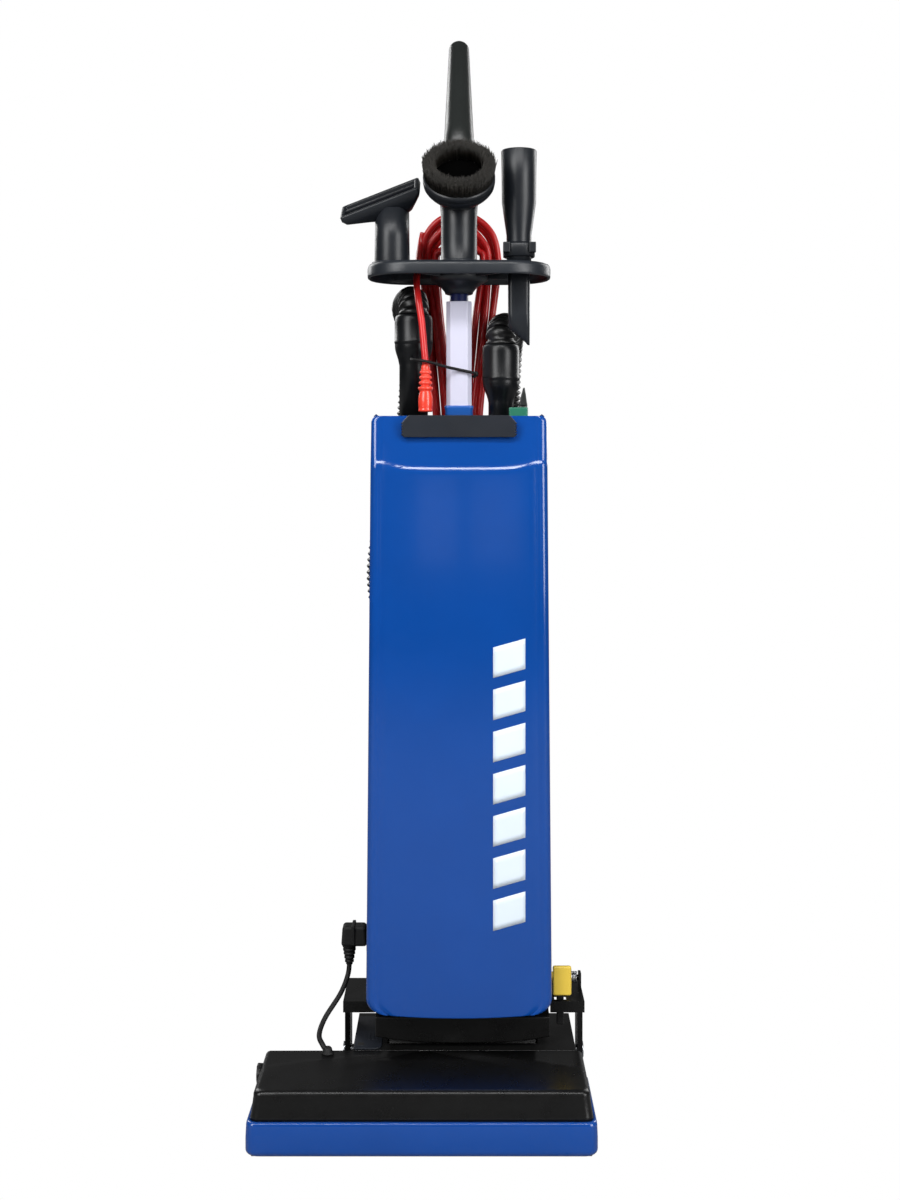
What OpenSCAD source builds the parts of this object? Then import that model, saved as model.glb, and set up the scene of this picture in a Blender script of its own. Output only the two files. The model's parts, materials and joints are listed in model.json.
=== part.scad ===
// Commercial upright vacuum cleaner with a 14-inch floor head.
// Frame: +Z up, the front faces -Y, the origin lies on the floor under the middle of the head.

/* [Floor head] */
// Width of the bumper
bumper_w = 368; // [360:1:376]
// Height of the head cover's top above the floor
head_top = 74; // [73.5:0.1:74.4]
// Radius of the brush roll's core
core_r = 15; // [14:0.5:16]
// Radius over the bristles
bristle_r = 25; // [22:0.5:26]
// Radius of the rear wheels
wheel_r = 25; // [23:0.5:25.5]
// Radius of the front rollers
roller_r = 10; // [9:0.5:10]

/* [Upright body] */
// Sideways place of the body's centre plane
body_x = 39; // [38:0.5:40]
// Width of the body at its foot
body_w_low = 209; // [206:1:210]
// Width of the body at its top
body_w_high = 198; // [196:1:200]
// Height of the top of the front cover
cover_top = 784; // [782:0.5:786]
// Wall of the covers and shells
wall = 3; // [2.5:0.1:3]

/* [Handle] */
// Width across the flats of the handle tube
tube_w = 30; // [28:0.5:30]
// Height of the tool caddy's top face
caddy_top = 962; // [961:0.5:963]
// Radius of the grip at its bend
grip_r = 18; // [16:0.5:18]

/* [Tools and hose] */
// Outer radius of the tools' round cuffs
cuff_r = 20.8; // [20:0.1:21]
// Outer radius of the hose
hose_r = 18; // [17:0.5:18.5]
// Radius of the power cord
cord_r = 4; // [3:0.5:4.5]

/* [Hidden] */
$fn = 48;
fit = 0.04;             // radial clearance of a running fit
seam = 0.4;             // gap between neighbouring shells
front_y = -165;         // front of the bumper
cover_front_y = -160;   // front of the head cover
cover_rear_y = -50;     // back of the head cover
housing_rear_y = 75;    // back of the rear housing
bumper_low = 8;
bumper_high = 45;
brush_y = -116;
brush_z = 27;
motor_y = -64;
motor_z = 44;
pivot_y = 25;
pivot_z = 45;
drum_r = 56;
wheel_y = 52;
roller_y = -70;
arm_left = -93;
arm_right = 182;
arm_t = 6;
yoke_front_y = -20;
housing_left = -80;
housing_right = 170;
shell_front_y = -18;
shell_rear_y = 100;
shell_low = 118;
shell_top = 770;
cover_y = -55;          // front face of the body's cover
cover_back_y = -21;
cover_low = 111;
fan_x = 20;
fan_y = 25;
riser_x = -54;
inlet_x = 50;
cuff_y = 55;            // sockets of the two hose cuffs
tube_y = 50;
caddy_y = 32;
tool_y = 22;
dust_y = 8;
crevice_x = 70;
upholstery_x = -78;
pedal_y = 20;
pedal_z = 131;
lean = 32;              // the grip's lean back from its bend
grip_len = 153;         // length of the leaning end
grip_end_r = 13;
bend_z = 1112;
screw_xs = [-168, 168];
screw_ys = [-150, -80];
roller_xs = [-100, 100];
wheel_xs = [-72, 148];  // inner faces of the rear wheels towards -X
knob_y = -75;
knob_z = 59;
handle_screw_zs = [690, 730];
floor_z = 331;          // floor of the bag chamber
motor_foot = 150;
case_z = 232;           // where the motor widens into the fan case
motor_top = 302;
bag_port_z = 712;       // the elbow's opening into the bag
duct_r = 21;            // outer radius of the two ducts
duct_top = 780;
wand_end_r = 17;        // ends of the hose cuffs
inlet_end_r = 15;
switch_y = 17;
switch_z = 795;
switch_left = 58;
switch_right = 80;
lever_left = 69.7;
lever_right = 79.4;
switch_foot_r = 6;
tool_hole_r = 14.5;     // the caddy's holes for the tools
head_z = 1031;          // middle of the upholstery head
dust_z = 1033;          // middle of the dusting brush's bell
hub_z = 985;            // axis of the upper cord hook
crease_z = 725;         // the front cover slopes back above this
head_tip = 30;           // the upholstery head tips to the front
dust_tilt = 50;         // the dusting brush's mouth faces forward and up

// ---- Shared shapes ----

// A box from its lowest to its highest corner.
module block(low, high) translate(low) cube(high - low);

// A round bar along X between two places, on an axis through (y, z).
module bar_x(x1, x2, y, z, r) translate([x1, y, z]) rotate([0, 90, 0]) cylinder(r = r, h = x2 - x1);

// A round bar along Y.
module bar_y(y1, y2, x, z, r) translate([x, y2, z]) rotate([90, 0, 0]) cylinder(r = r, h = y2 - y1);

// A round bar along Z.
module bar_z(z1, z2, x, y, r) translate([x, y, z1]) cylinder(r = r, h = z2 - z1);

// A side outline in (y, z) given a width along X.
module side_slab(x1, x2) translate([x1, 0, 0]) rotate([90, 0, 90]) linear_extrude(x2 - x1) children();

// A front outline in (x, z) given a depth along Y.
module front_slab(y1, y2) translate([0, y2, 0]) rotate([90, 0, 0]) linear_extrude(y2 - y1) children();

// A rectangle with four round corners, centred.
module round_rect(w, h, r) {
    square([w - 2 * r, h], center = true);
    square([w, h - 2 * r], center = true);
    for (sx = [-1, 1], sy = [-1, 1]) translate([sx * (w / 2 - r), sy * (h / 2 - r)]) circle(r);
}

// A point on a smooth curve through the four points p.
function spline_point(p, t) = 0.5 * (2 * p[1] + (p[2] - p[0]) * t
    + (2 * p[0] - 5 * p[1] + 4 * p[2] - p[3]) * t * t + (3 * p[1] - p[0] - 3 * p[2] + p[3]) * t * t * t);

// A smooth curve through all the points, with a number of steps for each stretch.
function smooth(pts, steps) = let (n = len(pts)) [
    for (i = [0:n - 2], k = [0:steps - 1])
        spline_point([pts[max(i - 1, 0)], pts[i], pts[i + 1], pts[min(i + 2, n - 1)]], k / steps),
    pts[n - 1]
];

function unit(v) = v / norm(v);

// One ring of points round a curve.
function ring(c, dir, r, sides, side_ref) = let (u = unit(cross(dir, side_ref)), v = cross(u, dir))
    [for (a = [0:sides - 1]) c + r * (cos(360 * a / sides) * u + sin(360 * a / sides) * v)];

// A flexible tube along a curve; side_ref is never parallel to the curve.
module flexible(path, r, side_ref = [0.2, 1, 0.1], sides = 14) {
    n = len(path);
    pts = [for (i = [0:n - 1]) each
        ring(path[i], unit(path[min(i + 1, n - 1)] - path[max(i - 1, 0)]), r, sides, side_ref)];
    quads = [for (i = [0:n - 2], a = [0:sides - 1]) let (b = (a + 1) % sides)
        [i * sides + a, (i + 1) * sides + a, (i + 1) * sides + b, i * sides + b]];
    first = [for (a = [0:sides - 1]) a];
    last = [for (a = [sides - 1:-1:0]) (n - 1) * sides + a];
    polyhedron(points = pts, faces = concat(quads, [first, last]));
}

// ---- Floor head ----

module bumper_block(inset, low, high)
    block([-bumper_w / 2 + inset, front_y + inset, low], [bumper_w / 2 - inset, cover_rear_y, high]);

module bumper() color([0.07, 0.31, 0.64]) difference() {
    intersection() {
        bumper_block(0, bumper_low, bumper_high);
        front_slab(front_y, cover_rear_y) translate([0, (bumper_low + bumper_high) / 2])
            round_rect(bumper_w, bumper_high - bumper_low, 9);
    }
    bumper_block(5, 0, bumper_high + 1);
}

module head_base() color([0.12, 0.12, 0.12]) difference() {
    union() {
        block([-178, -159, bumper_low], [178, cover_rear_y, 12]);
        block([housing_left + 4, cover_rear_y, bumper_low], [housing_right - 4, 70, 12]);
    }
    block([-160, brush_y - 28, 0], [160, brush_y + 28, 20]);
    block([-136, roller_y - 13, 0], [136, roller_y + 13, 20]);
    for (x = wheel_xs) block([x - 3, 20, 0], [x + 17, 80, 20]);
    for (x = screw_xs, y = screw_ys) bar_z(0, 20, x, y, 2.7);
}

// Side outline of the head cover; inset shrinks it on every side but the open bottom.
module cover_profile(inset) polygon([
    [cover_front_y + inset, bumper_high - inset], [cover_front_y + 6 + inset, head_top - 3 - inset],
    [cover_front_y + 10 + inset, head_top - inset], [cover_rear_y - inset, head_top - inset],
    [cover_rear_y - inset, bumper_high - inset]
]);

module cover_solid(inset) intersection() {
    side_slab(-180 + inset, 180 - inset) cover_profile(inset);
    front_slab(cover_front_y, cover_rear_y) polygon([
        [-180 + inset, bumper_high - inset], [-177 + inset, head_top - 5 - inset],
        [-173 + inset, head_top - inset], [173 - inset, head_top - inset],
        [177 - inset, head_top - 5 - inset], [180 - inset, bumper_high - inset]
    ]);
}

module head_cover() color([0.15, 0.15, 0.15]) difference() {
    cover_solid(0);
    cover_solid(wall);
    block([housing_left + wall, cover_rear_y - 10, 0],
        [housing_right - wall, cover_rear_y + 1, head_top - wall]);
    bar_x(-190, -170, knob_y, knob_z, 11.5);
}

module housing_profile(inset) let (open_y = cover_rear_y - (inset > 0 ? 1 : 0)) polygon([
    [open_y, 15 - inset], [open_y, head_top - inset],
    [60 - inset / 2, head_top - inset], [housing_rear_y - inset, head_top - 15 - inset / 2],
    [housing_rear_y - inset, 15 - inset]
]);

module rear_housing() color([0.13, 0.13, 0.13]) difference() {
    side_slab(housing_left, housing_right) housing_profile(0);
    side_slab(housing_left + wall, housing_right - wall) housing_profile(wall);
    block([-42, -29, 10], [128, 90, head_top + 1]);
    for (x = wheel_xs) block([x - 2, 60, 10], [x + 16, 80, 53]);
    for (x = [housing_left, housing_right]) bar_x(x - 5, x + 5, pivot_y, pivot_z, 6 + fit);
    for (x = [housing_left, housing_right]) bar_x(x - 5, x + 5, wheel_y, wheel_r, 3 + fit);
}

module service_plate() color([0.24, 0.24, 0.24]) difference() {
    block([-79, -48, head_top], [-48, 45, head_top + 2]);
    block([-74, -40, head_top - 1], [-67, -33, head_top + 3]);
}

// Hollow half drum round the pivot axis: the air passes through its slot in every lean.
module swivel_drum() color([0.17, 0.17, 0.18]) difference() {
    union() {
        intersection() {
            bar_x(-40, 126, pivot_y, pivot_z, drum_r);
            block([-41, -40, 16], [127, 90, 110]);
        }
        block([66, -87, 27], [124, -20, 66]);
    }
    intersection() {
        bar_x(-37, 123, pivot_y, pivot_z, drum_r - wall);
        block([-38, -40, 19], [124, 90, 110]);
    }
    block([69, -88, 30], [121, -10, 63]);
    block([-10, -6, 80], [95, 46, 110]);
}

module brush_motor() color([0.55, 0.56, 0.58]) difference() {
    union() {
        bar_x(-66, 44, motor_y, motor_z, 23);
        bar_x(-74, -66, motor_y, motor_z, 9);
    }
    bar_x(-80, -44, motor_y, motor_z, 3 + fit);
}

module motor_pulley() color([0.75, 0.75, 0.76]) union() {
    bar_x(-164, -46, motor_y, motor_z, 3);
    bar_x(-161, -147, motor_y, motor_z, 8);
}

// The belt's outline in the (y, z) plane, grown by extra.
module belt_outline(extra) hull() {
    translate([brush_y, brush_z]) circle(12 + extra);
    translate([motor_y, motor_z]) circle(8 + extra);
}

module drive_belt() color([0.08, 0.08, 0.08]) difference() {
    side_slab(-159, -149) belt_outline(2);
    side_slab(-160, -148) belt_outline(0.2);
}

module brush_core() color([0.3, 0.3, 0.32]) union() {
    bar_x(-171, 165, brush_y, brush_z, 4);
    bar_x(-146, 154, brush_y, brush_z, core_r);
    bar_x(-161, -147, brush_y, brush_z, 12);
}

module brush_bristles() color([0.1, 0.1, 0.1]) translate([0, brush_y, brush_z])
    for (a = [45:90:315]) rotate([a, 0, 0]) block([-142, -2, core_r + 0.1], [150, 2, bristle_r - 0.1]);

module brush_bearings() color([0.2, 0.2, 0.2]) for (x = [-172, 159]) difference() {
    block([x, brush_y - 12, 14], [x + 8, brush_y + 12, 42]);
    bar_x(x - 1, x + 9, brush_y, brush_z, 4 + fit);
}

module pivot_pins() color([0.7, 0.7, 0.72]) {
    bar_x(arm_left - 0.1, -74, pivot_y, pivot_z, 6);
    bar_x(arm_left - 3, arm_left - 0.1, pivot_y, pivot_z, 9);
    bar_x(164, arm_right + 0.1, pivot_y, pivot_z, 6);
    bar_x(arm_right + 0.1, arm_right + 2, pivot_y, pivot_z, 9);
}

module rear_axles() color([0.7, 0.7, 0.72]) for (x = [housing_left, housing_right - 25])
    bar_x(x, x + 25, wheel_y, wheel_r, 3);

module rear_wheel(x) color([0.1, 0.1, 0.1]) difference() {
    union() {
        bar_x(x, x + 14, wheel_y, wheel_r, wheel_r - 1);
        bar_x(x + 2, x + 12, wheel_y, wheel_r, wheel_r);
    }
    bar_x(x - 1, x + 15, wheel_y, wheel_r, 3 + fit);
}

module roller_carriage() color([0.2, 0.2, 0.2]) union() {
    difference() {
        block([-132, roller_y - 10, 13], [132, roller_y + 10, 16]);
        for (x = roller_xs) block([x - 12, roller_y - 11, 0], [x + 12, roller_y + 11, 20]);
    }
    for (x = roller_xs) {
        bar_x(x - 15, x + 15, roller_y, roller_r, 2.5);
        for (s = [-15, 12]) block([x + s, roller_y - 4, 6], [x + s + 3, roller_y + 4, 14]);
    }
}

module front_roller(x) color([0.3, 0.3, 0.3]) difference() {
    bar_x(x - 10, x + 10, roller_y, roller_r, roller_r);
    bar_x(x - 11, x + 11, roller_y, roller_r, 2.5 + fit);
}

module height_knob() color([0.35, 0.36, 0.38]) union() {
    bar_x(-183, -176, knob_y, knob_z, 11);
    bar_x(-176, -168, knob_y, knob_z, 5);
    block([-183.6, knob_y - 1, knob_z - 9], [-183, knob_y + 1, knob_z + 9]);
}

module head_screws() color([0.7, 0.7, 0.7]) for (x = screw_xs, y = screw_ys) {
    bar_z(6, 8, x, y, 4);
    bar_z(8, 36, x, y, 2.5);
}

// ---- Upright body ----

module yoke() color([0.12, 0.12, 0.13]) difference() {
    union() {
        block([arm_left, yoke_front_y, 114], [arm_right, 55, 118 - seam]);
        block([arm_left, yoke_front_y, 105], [-57, yoke_front_y + 4, 114]);
        block([143, yoke_front_y, 105], [arm_right, yoke_front_y + 4, 114]);
        for (x = [arm_left, arm_right - arm_t]) {
            block([x, pivot_y - 18, pivot_z], [x + arm_t, pivot_y + 18, 114]);
            bar_x(x, x + arm_t, pivot_y, pivot_z, 18);
        }
        block([178, pedal_y - 6, 114], [181, pedal_y + 6, pedal_z + 6]);
        bar_x(144, 181, pedal_y, pedal_z, 3 - fit);
    }
    for (x = [arm_left, arm_right - arm_t]) bar_x(x - 1, x + arm_t + 1, pivot_y, pivot_z, 6 + fit);
    block([-30, -5, 110], [0, 45, 120]);
    block([148, -14, 110], [162, 3, 120]);
}

module neck() color([0.1, 0.1, 0.1]) difference() {
    side_slab(-55, 141) polygon([[-42, 78], [-42, 109], [-20, 109], [-20, 113.6], [55, 113.6], [55, 86]]);
    bar_x(-56, 142, pivot_y, pivot_z, drum_r + 2.5);
    block([-30, -5, 90], [0, 45, 120]);
}

// Side outline of the body shell, with the back's lower edge cut off so that it can lean far back.
module shell_profile(inset) polygon([
    [shell_front_y - (inset > 0 ? 1 : 0), shell_low + inset], [62 - inset / 2, shell_low + inset],
    [shell_rear_y - inset, 172 + inset / 2], [shell_rear_y - inset, shell_top - inset],
    [shell_front_y - (inset > 0 ? 1 : 0), shell_top - inset]
]);

// Front outline of the body, wider at its foot.
module body_outline(low, high, inset) translate([body_x, 0]) polygon([
    [-body_w_low / 2 + inset, low], [-body_w_high / 2 + inset, high],
    [body_w_high / 2 - inset, high], [body_w_low / 2 - inset, low]
]);

module shell_solid(inset) intersection() {
    side_slab(body_x - 110, body_x + 110) shell_profile(inset);
    front_slab(shell_front_y - 2, shell_rear_y + 1) body_outline(shell_low, shell_top, inset + 1);
}

module body_shell() color([0.11, 0.11, 0.12]) difference() {
    shell_solid(0);
    shell_solid(4);
    block([-30, -5, 110], [0, 45, 130]);
    for (x = [riser_x, inlet_x]) bar_z(shell_top - 10, shell_top + 5, body_x + x, cuff_y, duct_r + 0.1);
    block([body_x - 15.2, tube_y - 15.2, 760], [body_x + 15.2, tube_y + 15.2, 775]);
    for (z = [200:14:284]) block([body_x + 90, 0, z], [body_x + 110, 70, z + 6]);
    for (z = handle_screw_zs) bar_y(90, 110, body_x, z, 3.1);
}

module partition() color([0.2, 0.2, 0.21]) difference() {
    block([body_x - 96, shell_front_y + 1, floor_z], [body_x + 96, shell_rear_y - 4.1, floor_z + wall]);
    bar_z(floor_z - 1, floor_z + 4, body_x + riser_x, cuff_y, duct_r + 0.2);
    bar_z(floor_z - 1, floor_z + 4, body_x + fan_x, fan_y, 22);
}

module cover_gasket() color([0.05, 0.05, 0.05]) difference() {
    front_slab(cover_back_y + 0.2, shell_front_y) body_outline(shell_low, shell_top, 1.5);
    front_slab(cover_back_y - 1, shell_front_y + 1) body_outline(shell_low + 4, shell_top - 4, 5);
}

module filter_bag() color([0.86, 0.82, 0.74]) union() {
    translate([body_x, -10, 350]) linear_extrude(380) round_rect(170, 72, 20);
    bar_y(24, 29.5, body_x + inlet_x, bag_port_z, 30);
}

module motor_filter() color([0.9, 0.9, 0.88]) 
    block([body_x - 20, -14, floor_z + 3.5], [body_x + 66, 70, floor_z + 17]);

module vacuum_motor() color([0.5, 0.5, 0.52]) translate([body_x + fan_x, fan_y, 0]) difference() {
    union() {
        bar_z(motor_foot, case_z, 0, 0, 40);
        bar_z(case_z, motor_top, 0, 0, 54);
    }
    bar_z(case_z + 4, motor_top - 4, 0, 0, 51);
    bar_z(motor_top - 12, motor_top + 8, 0, 0, 20);
    bar_z(case_z - 42, case_z + 8, 0, 0, 4 + fit);
}

module vacuum_fan() color([0.8, 0.8, 0.82]) translate([body_x + fan_x, fan_y, 0]) union() {
    bar_z(case_z - 32, case_z + 53, 0, 0, 4);
    bar_z(case_z + 12, case_z + 16, 0, 0, 48);
    bar_z(case_z + 16, case_z + 54, 0, 0, 10);
    for (a = [0:45:315]) rotate([0, 0, a]) block([8, -1, case_z + 15], [47, 1, case_z + 46]);
}

module motor_rings() color([0.08, 0.08, 0.08]) translate([body_x + fan_x, fan_y, 0]) {
    difference() {
        bar_z(shell_low + 4.5, motor_foot, 0, 0, 34);
        bar_z(shell_low + 2, motor_foot + 2, 0, 0, 26);
    }
    difference() {
        bar_z(motor_top, floor_z - 0.2, 0, 0, 50);
        bar_z(motor_top - 2, floor_z + 1, 0, 0, 40);
    }
}

module exhaust_filter() color([0.92, 0.92, 0.9]) block([body_x - 66, -50, 160], [body_x + 66, -33, 300]);

module riser_tube() color([0.14, 0.14, 0.15]) difference() {
    union() {
        bar_z(150, duct_top, body_x + riser_x, cuff_y, duct_r);
        block([body_x - 76, -12, 122.4], [body_x - 34, cuff_y, 158]);
        bar_z(shell_top + 0.2, duct_top, body_x + riser_x, cuff_y, duct_r + 1.5);
    }
    bar_z(154, duct_top + 1, body_x + riser_x, cuff_y, wand_end_r + 0.1);
    block([body_x - 69, -8, 120], [body_x - 39, 50, 155]);
}

module inlet_elbow() color([0.14, 0.14, 0.15]) difference() {
    union() {
        bar_z(bag_port_z - 22, duct_top, body_x + inlet_x, cuff_y, duct_r);
        bar_y(30, cuff_y, body_x + inlet_x, bag_port_z, duct_r);
        bar_z(shell_top + 0.2, duct_top, body_x + inlet_x, cuff_y, duct_r + 1.5);
    }
    bar_z(bag_port_z - 18, duct_top + 1, body_x + inlet_x, cuff_y, inlet_end_r + 0.1);
    bar_y(29, cuff_y, body_x + inlet_x, bag_port_z, 17);
}

// ---- Hose ----

// A hose cuff: a wide top round the hose, a taper, and a narrow end in its socket.
module hose_cuff(x, foot, low, waist, high, r_low, r_high) color([0.2, 0.21, 0.22])
    let (bore = r_high - 1.6) translate([body_x + x, cuff_y, 0]) rotate_extrude() polygon([
        [r_low - 2.5, foot], [r_low, foot], [r_low, low], [r_high, waist], [r_high, high - 2],
        [r_high - 0.6, high], [bore, high], [bore, waist + 4], [r_low - 2.5, low]
    ]);

module wand_cuff() hose_cuff(riser_x, 700, 850, 872, 906, wand_end_r, 23);
module inlet_cuff() hose_cuff(inlet_x, 734, 806, 829, 871, inlet_end_r, 22.5);

// Places along the hose, relative to the body's centre plane.
hose_places = [
    [riser_x, cuff_y, 886], [riser_x, cuff_y, 900], [riser_x, 58, 914], [-57, 75, 925], [-64, 103, 919],
    [-59, 130, 896], [-56, 142, 840], [-66, 145, 740], [-90, 145, 650], [-97, 145, 580], [-80, 145, 512],
    [-44, 145, 480], [0, 145, 470], [44, 145, 482], [76, 145, 522], [88, 145, 600], [78, 145, 700],
    [60, 142, 800], [60, 128, 862], [61, 100, 890], [54, 75, 892.5], [inlet_x, 57, 882],
    [inlet_x, cuff_y, 868], [inlet_x, cuff_y, 850]
];

module hose() color([0.07, 0.07, 0.08]) translate([body_x, 0, 0])
    flexible(smooth(hose_places, 3), hose_r, side_ref = [0.05, 1, 0.02]);

// ---- Handle ----

module tube_outline(w) let (c = w / 6) polygon([
    [-w / 2, c - w / 2], [c - w / 2, -w / 2], [w / 2 - c, -w / 2], [w / 2, c - w / 2],
    [w / 2, w / 2 - c], [w / 2 - c, w / 2], [c - w / 2, w / 2], [-w / 2, w / 2 - c]
]);

module handle_tube() color([0.88, 0.88, 0.9]) difference() {
    translate([body_x, tube_y, 664]) linear_extrude(921 - 664) tube_outline(tube_w);
    translate([body_x, tube_y, 660]) linear_extrude(270) tube_outline(tube_w - 4);
    for (z = handle_screw_zs) bar_y(60, 70, body_x, z, 3.1);
}

module lower_collar() color([0.12, 0.38, 0.68]) difference() {
    translate([body_x, tube_y, shell_top]) linear_extrude(28) round_rect(34, 34, 5);
    translate([body_x, tube_y, shell_top - 1]) linear_extrude(30) tube_outline(tube_w + 0.2);
}

module upper_spigot() color([0.1, 0.2, 0.5]) union() {
    bar_z(890, 921, body_x, tube_y, 12.8);
    bar_z(921, 957.8, body_x, tube_y, 11);
}

module handle_screws() color([0.7, 0.7, 0.7]) for (z = handle_screw_zs) {
    bar_y(62, 100, body_x, z, 2.9);
    bar_y(100, 102, body_x, z, 5);
}

// Outline of the caddy, a plate with two round ends.
module caddy_outline(inset) translate([body_x, caddy_y])
    round_rect(214 - 2 * inset, 113 - 2 * inset, 50 - inset);

module caddy() color([0.2, 0.21, 0.24]) difference() {
    union() {
        difference() {
            translate([0, 0, caddy_top - 16]) linear_extrude(16) caddy_outline(0);
            translate([0, 0, caddy_top - 17]) linear_extrude(13) caddy_outline(wall);
        }
        bar_z(930, caddy_top - 3, body_x, tube_y, 17);
        translate([body_x, tube_y, 932]) cylinder(r1 = 17, r2 = 34, h = caddy_top - 16 - 932);
        bar_z(caddy_top - 16, caddy_top - 3, body_x, tube_y, 34);
        for (x = [upholstery_x, crevice_x]) bar_z(caddy_top - 14, caddy_top - 3, body_x + x, tool_y, 17);
        bar_z(caddy_top - 14, caddy_top - 3, body_x, dust_y, 17);
    }
    bar_z(929, 958, body_x, tube_y, 11 + fit);
    for (x = [upholstery_x, crevice_x])
        bar_z(caddy_top - 20, caddy_top + 1, body_x + x, tool_y, tool_hole_r);
    bar_z(caddy_top - 20, caddy_top + 1, body_x, dust_y, tool_hole_r);
    bar_z(caddy_top - 20, caddy_top + 1, body_x - 50, 66, 11.5);
}

// The grip: an upright stem, then a tapering end that leans back.
module grip() color([0.16, 0.17, 0.17]) translate([body_x, tube_y, 0]) union() {
    bar_z(caddy_top, caddy_top + 8, 0, 0, grip_r);
    bar_z(caddy_top, bend_z, 0, 0, grip_r - 1);
    translate([0, 0, bend_z]) rotate([-lean, 0, 0]) {
        cylinder(r1 = grip_r - 0.5, r2 = grip_end_r, h = grip_len);
        translate([0, 0, grip_len]) sphere(grip_end_r);
    }
    translate([0, 0, bend_z]) sphere(grip_r - 0.5);
}

module upper_cord_hook() color([0.15, 0.15, 0.16]) translate([body_x, 0, hub_z]) union() {
    bar_y(67.6, 122, 0, 0, 7);
    block([-6, 100, 0], [6, 122, 14]);
    block([-12, 118, 0], [12, 122, 23]);
}

module lower_cord_hook() color([0.15, 0.15, 0.16]) translate([body_x, 0, 0]) union() {
    block([-10, shell_rear_y, 636], [10, 118, 646]);
    block([-10, 116, 620], [10, 120, 646]);
}

// ---- Cords ----

// Right half of one closed turn of the stored cord, wide above and narrow below, as (x, z).
turn_side = [[0, 606], [13, 612], [20, 640], [25, 793], [39, 930], [43.5, 975], [38, 1008], [22, 1026]];
turn_top = [0, 1032];
turn_y = 109;

module power_cord_turn(r) {
    half = [for (p = turn_side) [p[0], turn_y, p[1]]];
    back = [for (k = [len(half) - 1:-1:1]) [-half[k][0], turn_y, half[k][2]]];
    places = concat(half, [[turn_top[0], turn_y, turn_top[1]]], back);
    m = len(places);
    turn = [for (i = [0:m - 1], k = [0:2])
        spline_point([for (d = [-1:2]) places[(i + d + m) % m]], k / 3)];
    n = len(turn);
    sides = 12;
    pts = [for (i = [0:n - 1]) each
        ring(turn[i], unit(turn[(i + 1) % n] - turn[(i + n - 1) % n]), r, sides, [0, 1, 0])];
    polyhedron(points = pts, faces = [for (i = [0:n - 1], a = [0:sides - 1])
        let (b = (a + 1) % sides, j = (i + 1) % n)
        [i * sides + a, j * sides + a, j * sides + b, i * sides + b]]);
}

plug_strand = [[-39, 20, 846], [-42, 21, 880], [-47, 26, 915], [-50, 44, 942], [-50, 62, 957],
    [-49, 84, 973], [-46, 103, 988]];

module power_cord() color([0.75, 0.16, 0.16]) translate([body_x, 0, 0]) {
    power_cord_turn(6.5);
    flexible(smooth(plug_strand, 4), cord_r, side_ref = [1, 0, 0.1], sides = 12);
}

module cord_plug() color([0.94, 0.33, 0.28]) translate([body_x - 39, 20, 0]) rotate_extrude() polygon([
    [0, 790], [8.5, 790], [9, 806], [7, 818], [8.2, 822], [6, 826], [7.4, 831], [5.6, 835], [6.2, 843],
    [0, 845.8]
]);

tie_places = [[-56, 30, 852], [-50, 15, 850], [-36, 10, 848], [-18, 22, 843], [0, 31, 840], [15, 32, 837],
    [20, 42, 835], [19, 60, 834], [10, 68, 834], [-4, 68.5, 834]];

module cord_tie() color([0.06, 0.06, 0.07]) translate([body_x, 0, 0])
    flexible(smooth(tie_places, 4), 1.7, side_ref = [0.02, 0.05, 1], sides = 12);

module pigtail_plug() color([0.07, 0.07, 0.07]) translate([body_x, 0, 0]) union() {
    block([-136, -1, 173], [-103.2, 21, 196]);
    translate([-127, 10, 150]) cylinder(r1 = 5, r2 = 9, h = 24);
}

pigtail_places = [[-127, 10, 149.5], [-129, 6, 134], [-145, -12, 110], [-156, -38, 92], [-150, -56, 79]];

module pigtail_cord() color([0.07, 0.07, 0.07]) translate([body_x, 0, 0])
    flexible(smooth(pigtail_places, 4), 2.8, side_ref = [1, 0.1, 0.1], sides = 12);

// ---- Moving parts of the body ----

module release_pedal() color([0.84, 0.73, 0.32]) difference() {
    union() {
        block([145, -34, 129], [166, -29, 162]);
        block([145, -34, 129], [166, pedal_y, 133]);
        bar_x(145, 166, pedal_y, pedal_z, 6);
        block([151, -12, 88], [159, -4, 130]);
    }
    bar_x(144, 167, pedal_y, pedal_z, 3);
}

module pedal_spring() color([0.6, 0.6, 0.62]) for (i = [0:3]) difference() {
    bar_x(168 + i * 2.4, 170 + i * 2.4, pedal_y, pedal_z, 7);
    bar_x(167 + i * 2.4, 171 + i * 2.4, pedal_y, pedal_z, 5);
}

// Side outline of the front cover: upright below, sloping back above the crease.
module front_profile(inset) polygon([
    [cover_back_y + (inset > 0 ? 1 : 0), cover_low + inset], [cover_y + 6 + inset, cover_low + inset],
    [cover_y + inset, cover_low + 12], [cover_y + inset, crease_z - inset / 2],
    [cover_y + 14 + inset, cover_top - inset], [cover_back_y + (inset > 0 ? 1 : 0), cover_top - inset]
]);

module front_solid(inset) intersection() {
    side_slab(body_x - 110, body_x + 110) front_profile(inset);
    front_slab(cover_y - 1, cover_back_y + 2) intersection() {
        body_outline(cover_low, cover_top, inset);
        translate([body_x, (cover_low + cover_top) / 2])
            round_rect(body_w_low + 2, cover_top - cover_low - inset * 2, 20);
    }
}

module front_cover() color([0.07, 0.32, 0.66]) difference() {
    front_solid(0);
    front_solid(wall);
    block([body_x - 66, cover_y - 10, 758], [body_x + 66, -42, cover_top + 1]);
}

module cover_latch() color([0.17, 0.18, 0.21]) difference() {
    block([body_x - 65, -54, 759.5], [body_x + 65, -42.4, cover_top]);
    block([body_x - 60, -50, 759], [body_x + 60, -42, 764]);
}

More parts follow.
